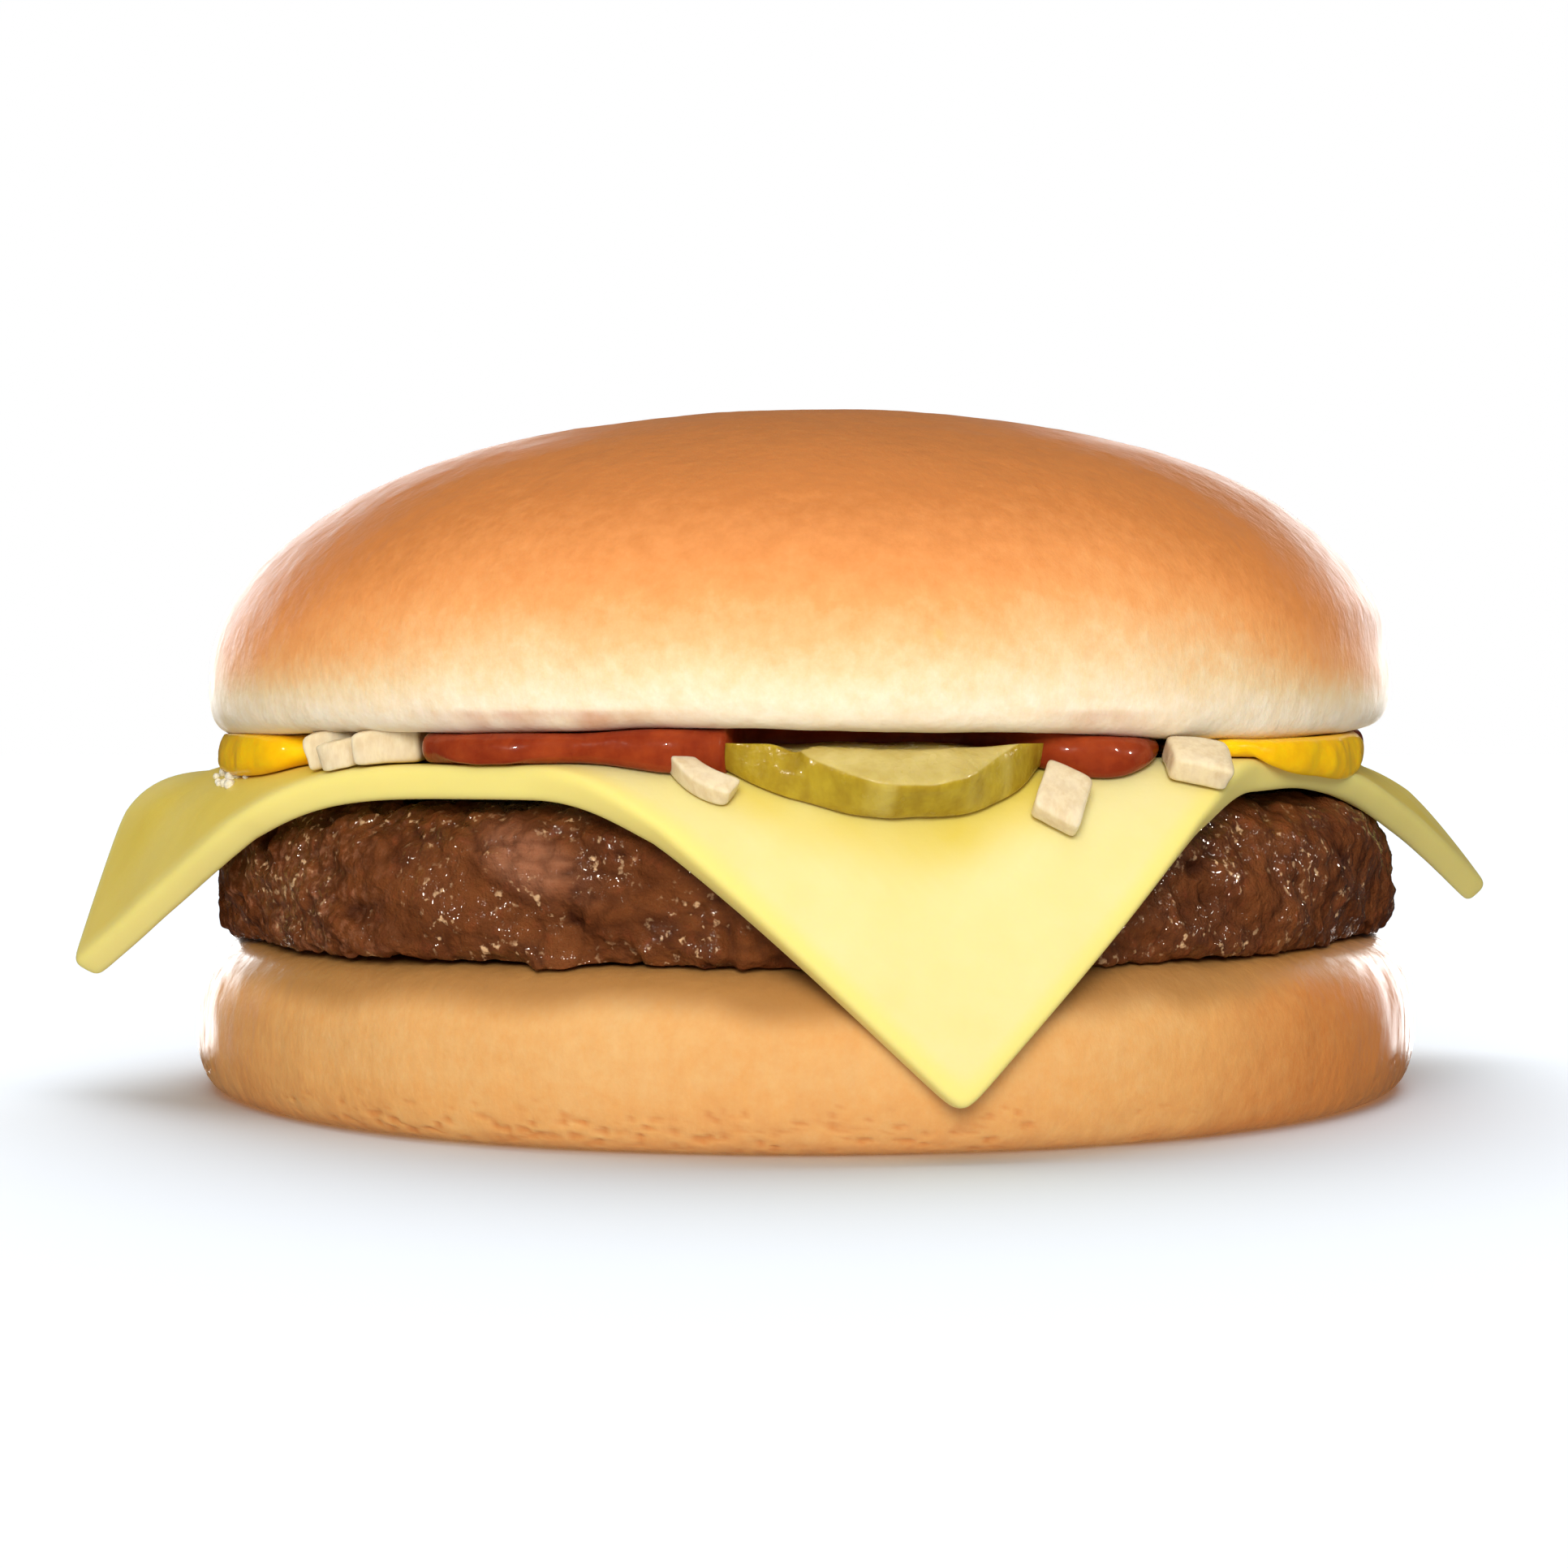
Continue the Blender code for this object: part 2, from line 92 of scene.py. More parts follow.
def grain(points, size, octaves, seed=0):
    """Swells of one size plus swells half as large and half as high, and so on, scaled to about -1 to 1."""
    total = sum(billows(points, size / 2**k, seed + k) / 2**k for k in range(octaves))
    return total / 1.2


def nearest_lumps(points, size, seed=0):
    """For lumps scattered one to a cube of that size: distance to the nearest and the next, as shares."""
    spot = points / size
    corner = np.floor(spot)
    first = np.full(points.shape[:-1], 9.0)
    second = first.copy()
    for step in np.ndindex(3, 3, 3):
        cell = corner + np.array(step) - 1
        centre = cell + 0.5 + 0.45 * np.stack([scattered(cell, seed + k) for k in (11, 23, 37)], axis=-1)
        away = np.linalg.norm(spot - centre, axis=-1)
        second = np.minimum(second, np.maximum(first, away))
        first = np.minimum(first, away)
    return first, second


def ease(share):
    """0 up to share 0, 1 from share 1 on, and a smooth S between them."""
    held = np.clip(share, 0.0, 1.0)
    return held * held * (3 - 2 * held)


def quarter(rows, squareness):
    """Across and up along a quarter of a superellipse, from (0, 1) to (1, 0)."""
    turn = np.linspace(0.0, math.pi / 2, rows)
    return np.sin(turn) ** (2 / squareness), np.clip(np.cos(turn), 0, 1) ** (2 / squareness)


def turned(radius, height, columns):
    """A profile of radius and height carried round Z: (radius cos a, radius sin a, height)."""
    angle = 2 * math.pi * np.arange(columns) / columns
    tall = np.repeat(np.asarray(height)[:, None], columns, axis=1)
    return np.stack([np.outer(radius, np.cos(angle)), np.outer(radius, np.sin(angle)), tall], axis=-1)


def joined(*stretches):
    """A profile from stretches, each a pair of radii and heights, of which one may be a single value."""
    pairs = [np.broadcast_arrays(*stretch) for stretch in stretches]
    return np.concatenate([pair[0] for pair in pairs]), np.concatenate([pair[1] for pair in pairs])


def outward(points):
    """Unit normals of rows of points that close round the columns: across the columns times down the rows."""
    across = np.roll(points, -1, axis=1) - np.roll(points, 1, axis=1)
    down = np.gradient(points, axis=0)
    normal = np.cross(down, across)
    return normal / np.maximum(np.linalg.norm(normal, axis=-1, keepdims=True), 1e-12)


def listed(values):
    """Rows of values as one list, with the first row and the last each averaged to a single pole."""
    ends = values[0].mean(axis=0, keepdims=True), values[-1].mean(axis=0, keepdims=True)
    return np.concatenate([ends[0], values[1:-1].reshape(-1, *values.shape[2:]), ends[1]])


def woven(rows, columns):
    """Faces over such a list: quads between rows, closed round the columns, and a fan at each pole."""
    ring = 1 + np.arange((rows - 2) * columns).reshape(rows - 2, columns)
    after = np.roll(ring, -1, axis=1)
    quads = np.stack([ring[:-1], ring[1:], after[1:], after[:-1]], axis=-1).reshape(-1, 4)
    last = (rows - 2) * columns + 1
    top = np.stack([np.zeros(columns, int), ring[0], after[0]], axis=-1)
    base = np.stack([np.full(columns, last), after[-1], ring[-1]], axis=-1)
    return quads, np.concatenate([top, base])


def linked(name, data):
    """An object of that name over the data, linked into the scene."""
    item = bpy.data.objects.new(name, data)
    bpy.context.scene.collection.objects.link(item)
    return item


def skinned(name, points, stains=None):
    """A closed mesh over rows of points, with the stains as attributes."""
    quads, fans = woven(*points.shape[:2])
    mesh = bpy.data.meshes.new(name)
    mesh.from_pydata(listed(points), [], quads.tolist() + fans.tolist())
    for stain, values in (stains or {}).items():
        layer = mesh.attributes.new(stain, "FLOAT", "POINT")
        layer.data.foreach_set("value", listed(values).astype(np.float32))
    mesh.shade_smooth()
    return linked(name, mesh)


class Finish:
    """A Principled material, with short calls that add the nodes which feed it."""

    def __init__(self, name, **settings):
        self.material = bpy.data.materials.new(name)
        self.material.use_nodes = True
        self.tree = self.material.node_tree
        self.shader = self.tree.nodes["Principled BSDF"]
        for socket, value in settings.items():
            self.shader.inputs[socket.replace("_", " ")].default_value = value
        self.place = self.node("TexCoord").outputs["Object"]

    def node(self, kind, **inputs):
        """A new node of that kind, with its inputs linked or set."""
        made = self.tree.nodes.new("ShaderNode" + kind)
        for socket, value in inputs.items():
            self.feed(made.inputs[socket.replace("_", " ")], value)
        return made

    def feed(self, socket, value):
        """Links an output to the socket, or sets the socket to a value."""
        if isinstance(value, bpy.types.NodeSocket):
            self.tree.links.new(value, socket)
        else:
            socket.default_value = value

    def stain(self, name):
        """The attribute of that name, from 0 to 1 over the piece."""
        made = self.node("Attribute")
        made.attribute_name = name
        return made.outputs["Fac"]

    def noise(self, size, detail=3.0, roughness=0.55, stretch=(1, 1, 1)):
        """Noise whose swells are about size metres across, stretched along the axes."""
        turn = self.node("Mapping", Vector=self.place, Scale=[1 / s for s in stretch])
        made = self.node("TexNoise", Vector=turn.outputs[0], Scale=1 / size, Detail=detail,
                         Roughness=roughness)
        return made.outputs["Fac"]

    def scaled(self, share, times, plus=0.0):
        """Share x times + plus."""
        made = self.node("Math")
        made.operation = "MULTIPLY_ADD"
        for socket, value in zip(made.inputs, (share, times, plus)):
            self.feed(socket, value)
        return made.outputs[0]

    def patches(self, low, high, *settings, **stretch):
        """Noise whose low to high are spread over 0 to 1, and held at both ends."""
        made = self.node("MapRange", Value=self.noise(*settings, **stretch))
        made.inputs["From Min"].default_value = low
        made.inputs["From Max"].default_value = high
        return made.outputs[0]

    def blend(self, share, first, second):
        """A colour that goes from the first to the second as share goes from 0 to 1."""
        made = self.node("Mix")
        made.data_type = "RGBA"
        self.feed(made.inputs["Factor"], share)
        self.feed(made.inputs[6], (*first, 1.0) if isinstance(first, tuple) else first)
        self.feed(made.inputs[7], (*second, 1.0) if isinstance(second, tuple) else second)
        return made.outputs[2]

    def paint(self, socket, value):
        """Feeds one socket of the Principled shader."""
        self.feed(self.shader.inputs[socket], value)

    def bumps(self, socket, *layers):
        """Bumps laid over one another, finest first: each is a depth in metres, then its noise's settings."""
        for depth, *settings in layers:
            bump = self.node("Bump", Height=self.noise(*settings), Distance=depth)
            if self.shader.inputs[socket].is_linked:
                self.feed(bump.inputs["Normal"], self.shader.inputs[socket].links[0].from_socket)
            self.paint(socket, bump.outputs["Normal"])


def dressed(piece, finish, slot, *nodes):
    """Gives a piece its finish, and has it stand for its CAD nodes and ride on the one body."""
    piece.data.materials.append(finish.material)
    for node in nodes:
        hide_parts(node)
    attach(piece, "root")
    return piece


def heel_swell(angle):
    """How much wider than a true circle the heel is, round about: a sum of two cosines."""
    return 0.0002 * np.cos(2 * angle + 0.6) + 0.0002 * np.cos(3 * angle - 1.6)


def heel_height(radius):
    """Height of the heel's upper surface inside its belly: a quarter of a superellipse past the cut face."""
    share = np.clip((radius - HEEL_CUT) / (HEEL_RADIUS - HEEL_CUT), 0.0, 1.0)
    return HEEL_BELLY + (HEEL_TOP - HEEL_BELLY) * (1 - share**HEEL_SQUARENESS) ** (1 / HEEL_SQUARENESS)


def heel_surface():
    """The heel's profile turned round Z, swollen unevenly, with pits and cracks pressed in near the pan. Its
    bake is a base value, more on the right and at the far left (partly browning, partly painted shade of
    the sides), more towards the pan, and none on the cut face. A painted shadow of the patty darkens its top."""
    across, up = quarter(56, HEEL_SQUARENESS)
    foot_across, foot_up = quarter(36, FOOT_SQUARENESS)
    foot_radius = HEEL_FOOT + (HEEL_RADIUS - HEEL_FOOT) * foot_across
    radius, height = joined(
        (np.linspace(0.0, HEEL_CUT, 26)[:-1], HEEL_TOP),
        (HEEL_CUT + (HEEL_RADIUS - HEEL_CUT) * across, HEEL_BELLY + (HEEL_TOP - HEEL_BELLY) * up),
        (foot_radius[::-1][1:], (HEEL_BELLY * (1 - foot_up))[::-1][1:]),
        (np.linspace(HEEL_FOOT, 0.0, 8)[1:], 0.0),
    )
    points = turned(radius, height, 640)
    angle = np.arctan2(points[..., 1], points[..., 0])
    side = ease((np.hypot(points[..., 0], points[..., 1]) - 0.85 * HEEL_CUT) / (0.15 * HEEL_CUT))
    normal = outward(points)
    rise = points[..., 2] / HEEL_TOP
    swell = heel_swell(angle) * np.clip(points[..., 2] / HEEL_BELLY, 0, 1) * side
    soft = 0.00022 * grain(points, 0.014, 2, 3) + 0.00005 * grain(points, 0.0035, 2, 5)
    flat = points * np.array([1, 1, 1.3])
    first, _ = nearest_lumps(flat + 0.0005 * grain(points, PIT_SIZE, 2, 8)[..., None], PIT_SIZE, 13)
    patchy = ease(0.55 + 1.2 * grain(points, 0.009, 2, 17))
    low = ease((0.46 - rise) / 0.36)
    pit = ease((0.40 * (0.30 + 0.70 * low * patchy) - first) / 0.20) * low * side
    crack = np.abs(grain(points * np.array([1, 1, 3.0]), 0.0042, 3, 29))
    crack = ease((0.055 - crack) / 0.05) * ease((0.30 - rise) / 0.25) * side * patchy
    lifted = np.clip(points[..., 2] / 0.0012, 0, 1)
    dent = (soft - PIT_DEPTH * pit - CRACK_DEPTH * crack) * side * lifted
    points = points + normal * (dent + swell)[..., None]
    crumb = (1 - side) * (rise > 0.5)
    points[..., 2] += crumb * 0.00012 * grain(points, 0.0016, 3, 41)
    points[..., 2] = np.maximum(points[..., 2], 0.0)
    # Darker on the right and at the far left: partly browning, partly painted shade where the sides turn from
    # the front light.
    browner = ease((points[..., 0] - 0.020) / 0.022)
    bake = 0.55 + 0.40 * browner + 0.12 * ease((-0.030 - points[..., 0]) / 0.012)
    bake += 0.10 * ease((0.55 - rise) / 0.5) + 0.20 * ease((0.12 - rise) / 0.12)
    bake += 0.06 * grain(points, 0.012, 3, 51) + 0.05 * grain(points, 0.0025, 2, 57) * low
    bake = np.where(rise > 0.995, 0.0, np.clip(bake, 0, 1))
    # A painted shadow of the patty darkens the top of the heel's crust down to a wavy edge, less on the
    # right.
    soaked = 0.66 + 0.08 * grain(points * np.array([1, 1, 0.3]), 0.0065, 2, 59) + 0.10 * browner
    juice = ease((rise - soaked) / 0.20) * (1 - 0.4 * browner)
    return points, {"bake": bake, "pit": np.clip(pit + 0.8 * crack, 0, 1), "juice": juice}


def crust_finish(name, ladder, sheen):
    """Bread crust: a ladder of colours from crumb to dark crust, fine mottling, a painted shadow under the
    patty, and a faint greasy gloss.
    """
    made = Finish(name, Roughness=0.52, IOR=1.42, Specular_IOR_Level=0.2, Coat_Roughness=0.25,
                  Subsurface_Weight=0.22, Subsurface_Radius=(1.0, 0.55, 0.28), Subsurface_Scale=0.0022)
    mottle = made.scaled(made.noise(0.0014, 5.0, 0.7), 0.34, -0.17)
    bake = made.scaled(made.stain("bake"), 1.0, mottle)
    ramp = made.node("ValToRGB", Fac=bake)
    while len(ramp.color_ramp.elements) < len(ladder):
        ramp.color_ramp.elements.new(0.5)
    for step, (at, colour) in zip(ramp.color_ramp.elements, ladder):
        step.position = at
        step.color = (*colour, 1.0)
    # The painted shadow of the patty, on the heel only; the crown has none.
    soaked = made.blend(made.stain("juice"), ramp.outputs["Color"], JUICY_CRUST)
    made.paint("Base Color", made.blend(made.scaled(made.stain("pit"), 0.75), soaked, PAN_CRUST))
    streaks = made.patches(0.34, 0.66, 0.0012, 3.0, 0.6, stretch=(1, 1, 5))
    made.paint("Coat Weight", made.scaled(streaks, sheen))
    made.bumps("Normal", (0.00007, 0.0007, 4.0, 0.55, (1, 1, 1.6)), (0.00018, 0.0035, 3.0))
    made.paint("Roughness", made.scaled(made.noise(0.003, 3.0), 0.22, 0.38))
    return made


heel_points, heel_stains = heel_surface()
heel = skinned("heel_bread", heel_points, heel_stains)
heel_crust = crust_finish("golden heel crust", [
    (0.0, CRUMB), (0.30, PALE_CRUST), (0.62, GOLD_CRUST), (0.95, PAN_CRUST),
], sheen=0.7)
dressed(heel, heel_crust, "bun", "bun_heel")


# -------------------------------------------------------------- beef patty
# A thick patty of coarse minced beef, pressed by hand and seared, so its side is a heap of crumbs and
# fibres glazed with fat. It rests on the heel, its lower rim curls over it, and the cheese presses it down.
GAP = 0.0003
TILT = 0.008
PATTY_RADIUS = 0.0467
PATTY_BELLY = 0.0165
PATTY_BASE = HEEL_TOP + GAP
PATTY_TOP = 0.0227
PATTY_SHOULDER = 0.0395
PATTY_CURL = 0.0454
PATTY_SQUARENESS = 2.5
HEAP_SIZE = 0.0056
MINCE_SIZE = 0.0023
STRAND_SIZE = 0.0025
CRUMB_SIZE = 0.00105
HEAP_RELIEF = 0.00045
MINCE_RELIEF = 0.00050
CRUMB_RELIEF = 0.00036
HOLE_DEPTH = 0.00045

SEARED = (0.100, 0.027, 0.007)
CHESTNUT = (0.165, 0.048, 0.012)
# The colour of the painted shade in the creases and pits.
CHARRED = (0.042, 0.010, 0.003)
RUSTY = (0.24, 0.055, 0.018)
ROSY = (0.34, 0.135, 0.065)
SINEW = (0.25, 0.085, 0.038)
# The colour of the painted glints on the patty.
FAT = (0.64, 0.39, 0.20)

# The slice that lies on the patty is a square turned by 12.3 degrees, so it has a front, a right, a back and
# a left corner. Each corner folds down across its own diagonal: the fold starts at distance start from the
# middle, plus skew for each metre to the side, and its slope grows over reach metres to steepest degrees.
SLICE_BASE = 0.02313
SLICE_TURN = math.radians(12.3)
FRONT = np.array([math.sin(SLICE_TURN), -math.cos(SLICE_TURN)])
RIGHT = np.array([math.cos(SLICE_TURN), math.sin(SLICE_TURN)])
FOLDS = [
    dict(way=FRONT, side=RIGHT, start=0.0377, skew=0.04, reach=0.0077, sharpness=1.3, steepest=84),
    dict(way=RIGHT, side=-FRONT, start=0.0436, skew=0.48, reach=0.0050, sharpness=1.2, steepest=50),
    dict(way=-FRONT, side=-RIGHT, start=0.0390, skew=0.0, reach=0.0085, sharpness=1.6, steepest=74),
    dict(way=-RIGHT, side=FRONT, start=0.0382, skew=-0.28, reach=0.0097, sharpness=4.0, steepest=60.0),
]
CORNER_REACH = 0.0624
FOLD_LENGTH = 0.034


def fold_curve(fold, arc):
    """Across, down and slope along a fold: the slope is steepest x (1 - exp(-(arc / reach)^sharpness))."""
    fine = np.linspace(0.0, FOLD_LENGTH, 1200)
    slope = math.radians(fold["steepest"]) * (1 - np.exp(-((fine / fold["reach"]) ** fold["sharpness"])))
    step = fine[1] - fine[0]
    across = np.concatenate([[0.0], np.cumsum((np.cos(slope[1:]) + np.cos(slope[:-1])) / 2) * step])
    down = np.concatenate([[0.0], np.cumsum((np.sin(slope[1:]) + np.sin(slope[:-1])) / 2) * step])
    return np.interp(arc, fine, across), np.interp(arc, fine, down), np.interp(arc, fine, slope)


def under_cheese(points, clearance):
    """Moves points that come within the clearance of the slice's underside back from it, along its normal."""
    kept = points.copy()
    flat = kept[..., :2]
    for fold in FOLDS:
        arc = np.linspace(0.0, 0.024, 160)
        across, down, slope = fold_curve(fold, arc)
        aside = flat @ fold["side"]
        ahead = flat @ fold["way"] - fold["start"] - fold["skew"] * aside
        drop = SLICE_BASE + TILT * kept[..., 0] - kept[..., 2]
        near = ahead > -0.004
        miss = (ahead[near][:, None] - across) ** 2 + (drop[near][:, None] - down) ** 2
        closest = miss.argmin(axis=1)
        out = np.sin(slope[closest])
        up = np.cos(slope[closest])
        height = (ahead[near] - across[closest]) * out - (drop[near] - down[closest]) * up
        width = CORNER_REACH - fold["start"] - arc[closest]
        covered = ease((width + 0.0025 - np.abs(aside[near])) / 0.0025)
        back = np.maximum(height + clearance, 0.0) * covered
        kept[near] -= np.concatenate([np.outer(back * out, fold["way"]), (back * up)[:, None]], axis=1)
    kept[..., 2] = np.minimum(kept[..., 2], SLICE_BASE + TILT * kept[..., 0] - clearance)
    return kept


def patch(points, degrees, height, wide, tall, slant=0.0):
    """A soft oval on the side of the burger: 1 in its middle, 0 past wide metres round or tall metres up."""
    angle = np.arctan2(points[..., 1], points[..., 0]) - math.radians(degrees)
    around = ((angle + math.pi) % (2 * math.pi) - math.pi) * PATTY_RADIUS
    above = points[..., 2] - height - slant * around
    return ease(1.35 - np.hypot(around / wide, above / tall))


def patty_surface():
    """A pressed disc turned round Z, then heaped with lumps: near a lump's middle it stands out, between two
    lumps it creases. Two sizes of lump, pits and fine grain add up, less so where fat has glazed it."""
    across, up = quarter(44, PATTY_SQUARENESS)
    curl_across, curl_up = quarter(36, PATTY_SQUARENESS)
    hem = heel_height(PATTY_CURL) + 2 * GAP
    hugging = np.linspace(0.0452, HEEL_CUT, 6)
    curl_radius = PATTY_CURL + (PATTY_RADIUS - PATTY_CURL) * curl_across
    curl_height = hem + (PATTY_BELLY - hem) * (1 - curl_up)
    shoulder = PATTY_SHOULDER + (PATTY_RADIUS - PATTY_SHOULDER) * across
    radius, height = joined(
        (np.linspace(0.0, PATTY_SHOULDER, 8)[:-1], PATTY_TOP),
        (shoulder, PATTY_BELLY + (PATTY_TOP - PATTY_BELLY) * up),
        (curl_radius[::-1][1:], curl_height[::-1][1:]),
        (hugging, heel_height(hugging) + 2 * GAP),
        (np.array([0.028, 0.0]), PATTY_BASE + GAP),
    )
    points = turned(radius, height, 880)
    angle = np.arctan2(points[..., 1], points[..., 0])
    level = (points[..., 2] - PATTY_BELLY) / (PATTY_TOP - PATTY_BELLY)
    rim = np.clip(np.hypot(points[..., 0], points[..., 1]) / PATTY_RADIUS, 0, 1) ** 6
    coarse = 0.00045 * np.cos(5 * angle + 1.3 * level + 0.4) + 0.00035 * np.cos(9 * angle - 2.1 * level)
    fine = 0.00040 * np.cos(17 * angle + 3 * level) * np.cos(4 * level + 6 * angle)
    out = rim * (coarse + fine - 0.0009)
    points[..., 0] += out * np.cos(angle)
    points[..., 1] += out * np.sin(angle)
    points[..., 2] += TILT * points[..., 0] * (level > 0) * (1 - rim)
    normal = outward(points)

    glaze = patch(points, -122, 0.0162, 0.0085, 0.0030) + patch(points, 60, 0.0170, 0.0090, 0.0030)
    glaze = np.clip(glaze + ease(1.6 * grain(points, 0.009, 2, 61) - 0.55), 0, 1)
    stranded = ease((points[..., 0] - 0.022) / 0.012)
    warp = 0.0007 * np.stack([grain(points, 0.003, 2, k) for k in (71, 74, 77)], axis=-1)
    upright = (points + warp) * np.array([1.0, 1.0, 0.42])
    heap, heap_next = nearest_lumps(points * np.array([1, 1, 1.15]) + 2 * warp, HEAP_SIZE, 81)
    bit, bit_next = nearest_lumps(points + warp, MINCE_SIZE, 91)
    strand, strand_next = nearest_lumps(upright, STRAND_SIZE, 95)
    mince = bit + (strand - bit) * stranded
    mince_next = bit_next + (strand_next - bit_next) * stranded
    pit = ease((grain(points, 0.0030, 2, 101) - 0.42) / 0.25)
    loose = 1 - 0.80 * glaze
    crumb, _ = nearest_lumps(points + 0.6 * warp, CRUMB_SIZE, 99)
    rough = HEAP_RELIEF * (0.60 - heap) + MINCE_RELIEF * (0.55 - mince) * loose - HOLE_DEPTH * pit * loose
    rough += (CRUMB_RELIEF * (0.55 - crumb) + 0.00014 * grain(points, 0.0008, 2, 105)) * loose
    hanging = patch(points, -111.5, 0.0128, 0.0022, 0.0014)
    hanging = hanging + 0.5 * patch(points, -96, 0.0130, 0.0030, 0.0010)
    rough += 0.0005 * hanging
    side = ease((np.hypot(points[..., 0], points[..., 1]) - 0.036) / 0.006)
    points = points + normal * (rough * side)[..., None]

    around = np.hypot(points[..., 0], points[..., 1])
    over_heel = heel_height(around - heel_swell(angle)) + 1.2 * GAP
    sunk = 0.0009 * hanging
    points[..., 2] = np.where(level < 0, np.maximum(points[..., 2] - sunk, over_heel), points[..., 2])
    points = under_cheese(points, GAP)

    # Painted shade: the creases between lumps and the pits are marked to be coloured dark.
    crease = ease((0.14 - (heap_next - heap)) / 0.14) * 0.3 + ease((0.20 - (mince_next - mince)) / 0.2) * 0.4
    crease = np.clip((crease + 0.7 * pit) * loose, 0, 1)
    rosy = patch(points, -113.5, 0.0188, 0.0048, 0.0022, -0.35)
    rosy = rosy + patch(points, 15, 0.0175, 0.0040, 0.0020, 0.3)
    rosy = rosy + patch(points, 118, 0.0180, 0.0050, 0.0020, -0.3)
    rosy = np.clip(rosy * (0.75 + 0.5 * grain(points, 0.002, 2, 113)), 0, 1)
    # Paler rosy spots towards the left end.
    torn = 0.8 * ease((-0.026 - points[..., 0]) / 0.008)
    return points, {"crease": crease, "rosy": rosy, "torn": torn}


def patty_finish():
    """Browned meat: painted shade in the creases and pits, mottled lumps, rosy fibres, paler rosy spots
    towards the left end, and painted glints as pale beads of fat, all under a thin uneven coat of fat."""
    made = Finish("seared beef", IOR=1.45, Specular_IOR_Level=0.05, Coat_Roughness=0.05, Coat_IOR=1.5,
                  Subsurface_Weight=0.10, Subsurface_Radius=(1.0, 0.35, 0.2), Subsurface_Scale=0.0012)
    mottle = made.patches(0.36, 0.64, 0.0030, 4.0, 0.6)
    brown = made.blend(mottle, SEARED, CHESTNUT)
    rust = made.patches(0.56, 0.74, 0.0011, 3.0, 0.6)
    brown = made.blend(made.scaled(rust, 0.45), brown, RUSTY)
    fibre = made.patches(0.35, 0.7, 0.0012, 4.0, 0.6, stretch=(2.5, 2.5, 0.5))
    pink = made.blend(fibre, ROSY, SINEW)
    meat = made.blend(made.scaled(made.stain("rosy"), 0.9), brown, pink)
    paler = made.patches(0.50, 0.72, 0.0008, 3.0, 0.6)
    meat = made.blend(made.scaled(paler, made.stain("torn")), meat, ROSY)
    # Painted shade in the creases and pits.
    meat = made.blend(made.stain("crease"), meat, CHARRED)
    # Painted glints: small pale spots in the base colour, in patches, standing for beads of fat that catch
    # the light.
    spots = made.patches(0.60, 0.70, 0.00060, 2.0, 0.5)
    patches = made.patches(0.48, 0.60, 0.0042, 3.0, 0.6)
    made.paint("Base Color", made.blend(made.scaled(spots, patches), meat, FAT))
    made.bumps("Normal", (0.00010, 0.00045, 3.0, 0.6), (0.00050, 0.0013, 4.0, 0.62))
    made.bumps("Coat Normal", (0.00060, 0.0009, 1.0, 0.5), (0.0009, 0.0026, 2.0, 0.5))
    fat = made.patches(0.44, 0.60, 0.0042, 3.0, 0.6)
    made.paint("Coat Weight", made.scaled(fat, 0.85))
    made.paint("Roughness", made.scaled(made.noise(0.0025, 3.0), 0.4, 0.35))
    return made


patty_points, patty_stains = patty_surface()
patty = skinned("seared_patty", patty_points, patty_stains)
dressed(patty, patty_finish(), "beef", "beef_patty")


# ------------------------------------------------------------ cheese slice
# One slice of processed cheddar, laid straight from its wrapper and warmed by the meat until its corners
# hang. It is smooth and a little waxy on both faces, with a paler cut edge all round.
SLICE_SIDE = 0.0882
SLICE_THICK = 0.0023
SLICE_SHIFT = np.array([-0.0004, -0.0009])
SLICE_BEVEL = 0.0008
SAG_START = 0.0430
SAG = 30.0
CHEDDAR = (0.77, 0.655, 0.25)
CHEDDAR_PALE = (0.79, 0.69, 0.31)
CHEDDAR_GOLD = (0.72, 0.54, 0.06)
# The deeper olive of the folds: painted shade, partly an oily tint.
CHEDDAR_OILY = (0.80, 0.60, 0.09)
CHEDDAR_CUT = (0.82, 0.68, 0.20)

# The round of pickle that will lie on the slice's front fold, and how far round it the brine stain and
# painted glow reach.
PICKLE_RADIUS = 0.0145
PICKLE_THICK = 0.0034
PICKLE_CENTRE = 0.0306 * FRONT - 0.0027 * RIGHT
BRINE_REACH = 0.0042
BRINE_FADE = 0.0036


def drape(flat, above):
    """Lays points of the flat slice on the burger: each fold carries what is past its start along its curve,
    a little sag is added near the rim, and above lifts the point along the slice's upward normal."""
    placed = np.concatenate([flat, np.zeros(flat.shape[:-1] + (1,))], axis=-1)
    normal = np.zeros(placed.shape)
    normal[..., 2] = 1.0
    for fold in FOLDS:
        arc = np.maximum(past_start(flat, fold), 0.0)
        across, down, slope = fold_curve(fold, arc)
        placed[..., :2] += (across - arc)[..., None] * fold["way"]
        placed[..., 2] -= down
        leaning = np.concatenate([np.sin(slope)[..., None] * fold["way"], np.cos(slope)[..., None]], axis=-1)
        normal = np.where((arc > 0)[..., None], leaning, normal)
    overhang = np.clip(np.hypot(flat[..., 0], flat[..., 1]) - SAG_START, 0.0, 0.005)
    hanging = np.clip(1 + placed[..., 2] / 0.003, 0.0, 1.0)
    placed[..., 2] += SLICE_BASE + TILT * flat[..., 0] - SAG * overhang**2 * hanging
    return placed + normal * np.broadcast_to(above, flat.shape[:-1])[..., None]


def past_start(flat, fold):
    """How far past the start of a fold the points of the flat slice lie."""
    return flat @ fold["way"] - fold["start"] - fold["skew"] * (flat @ fold["side"])


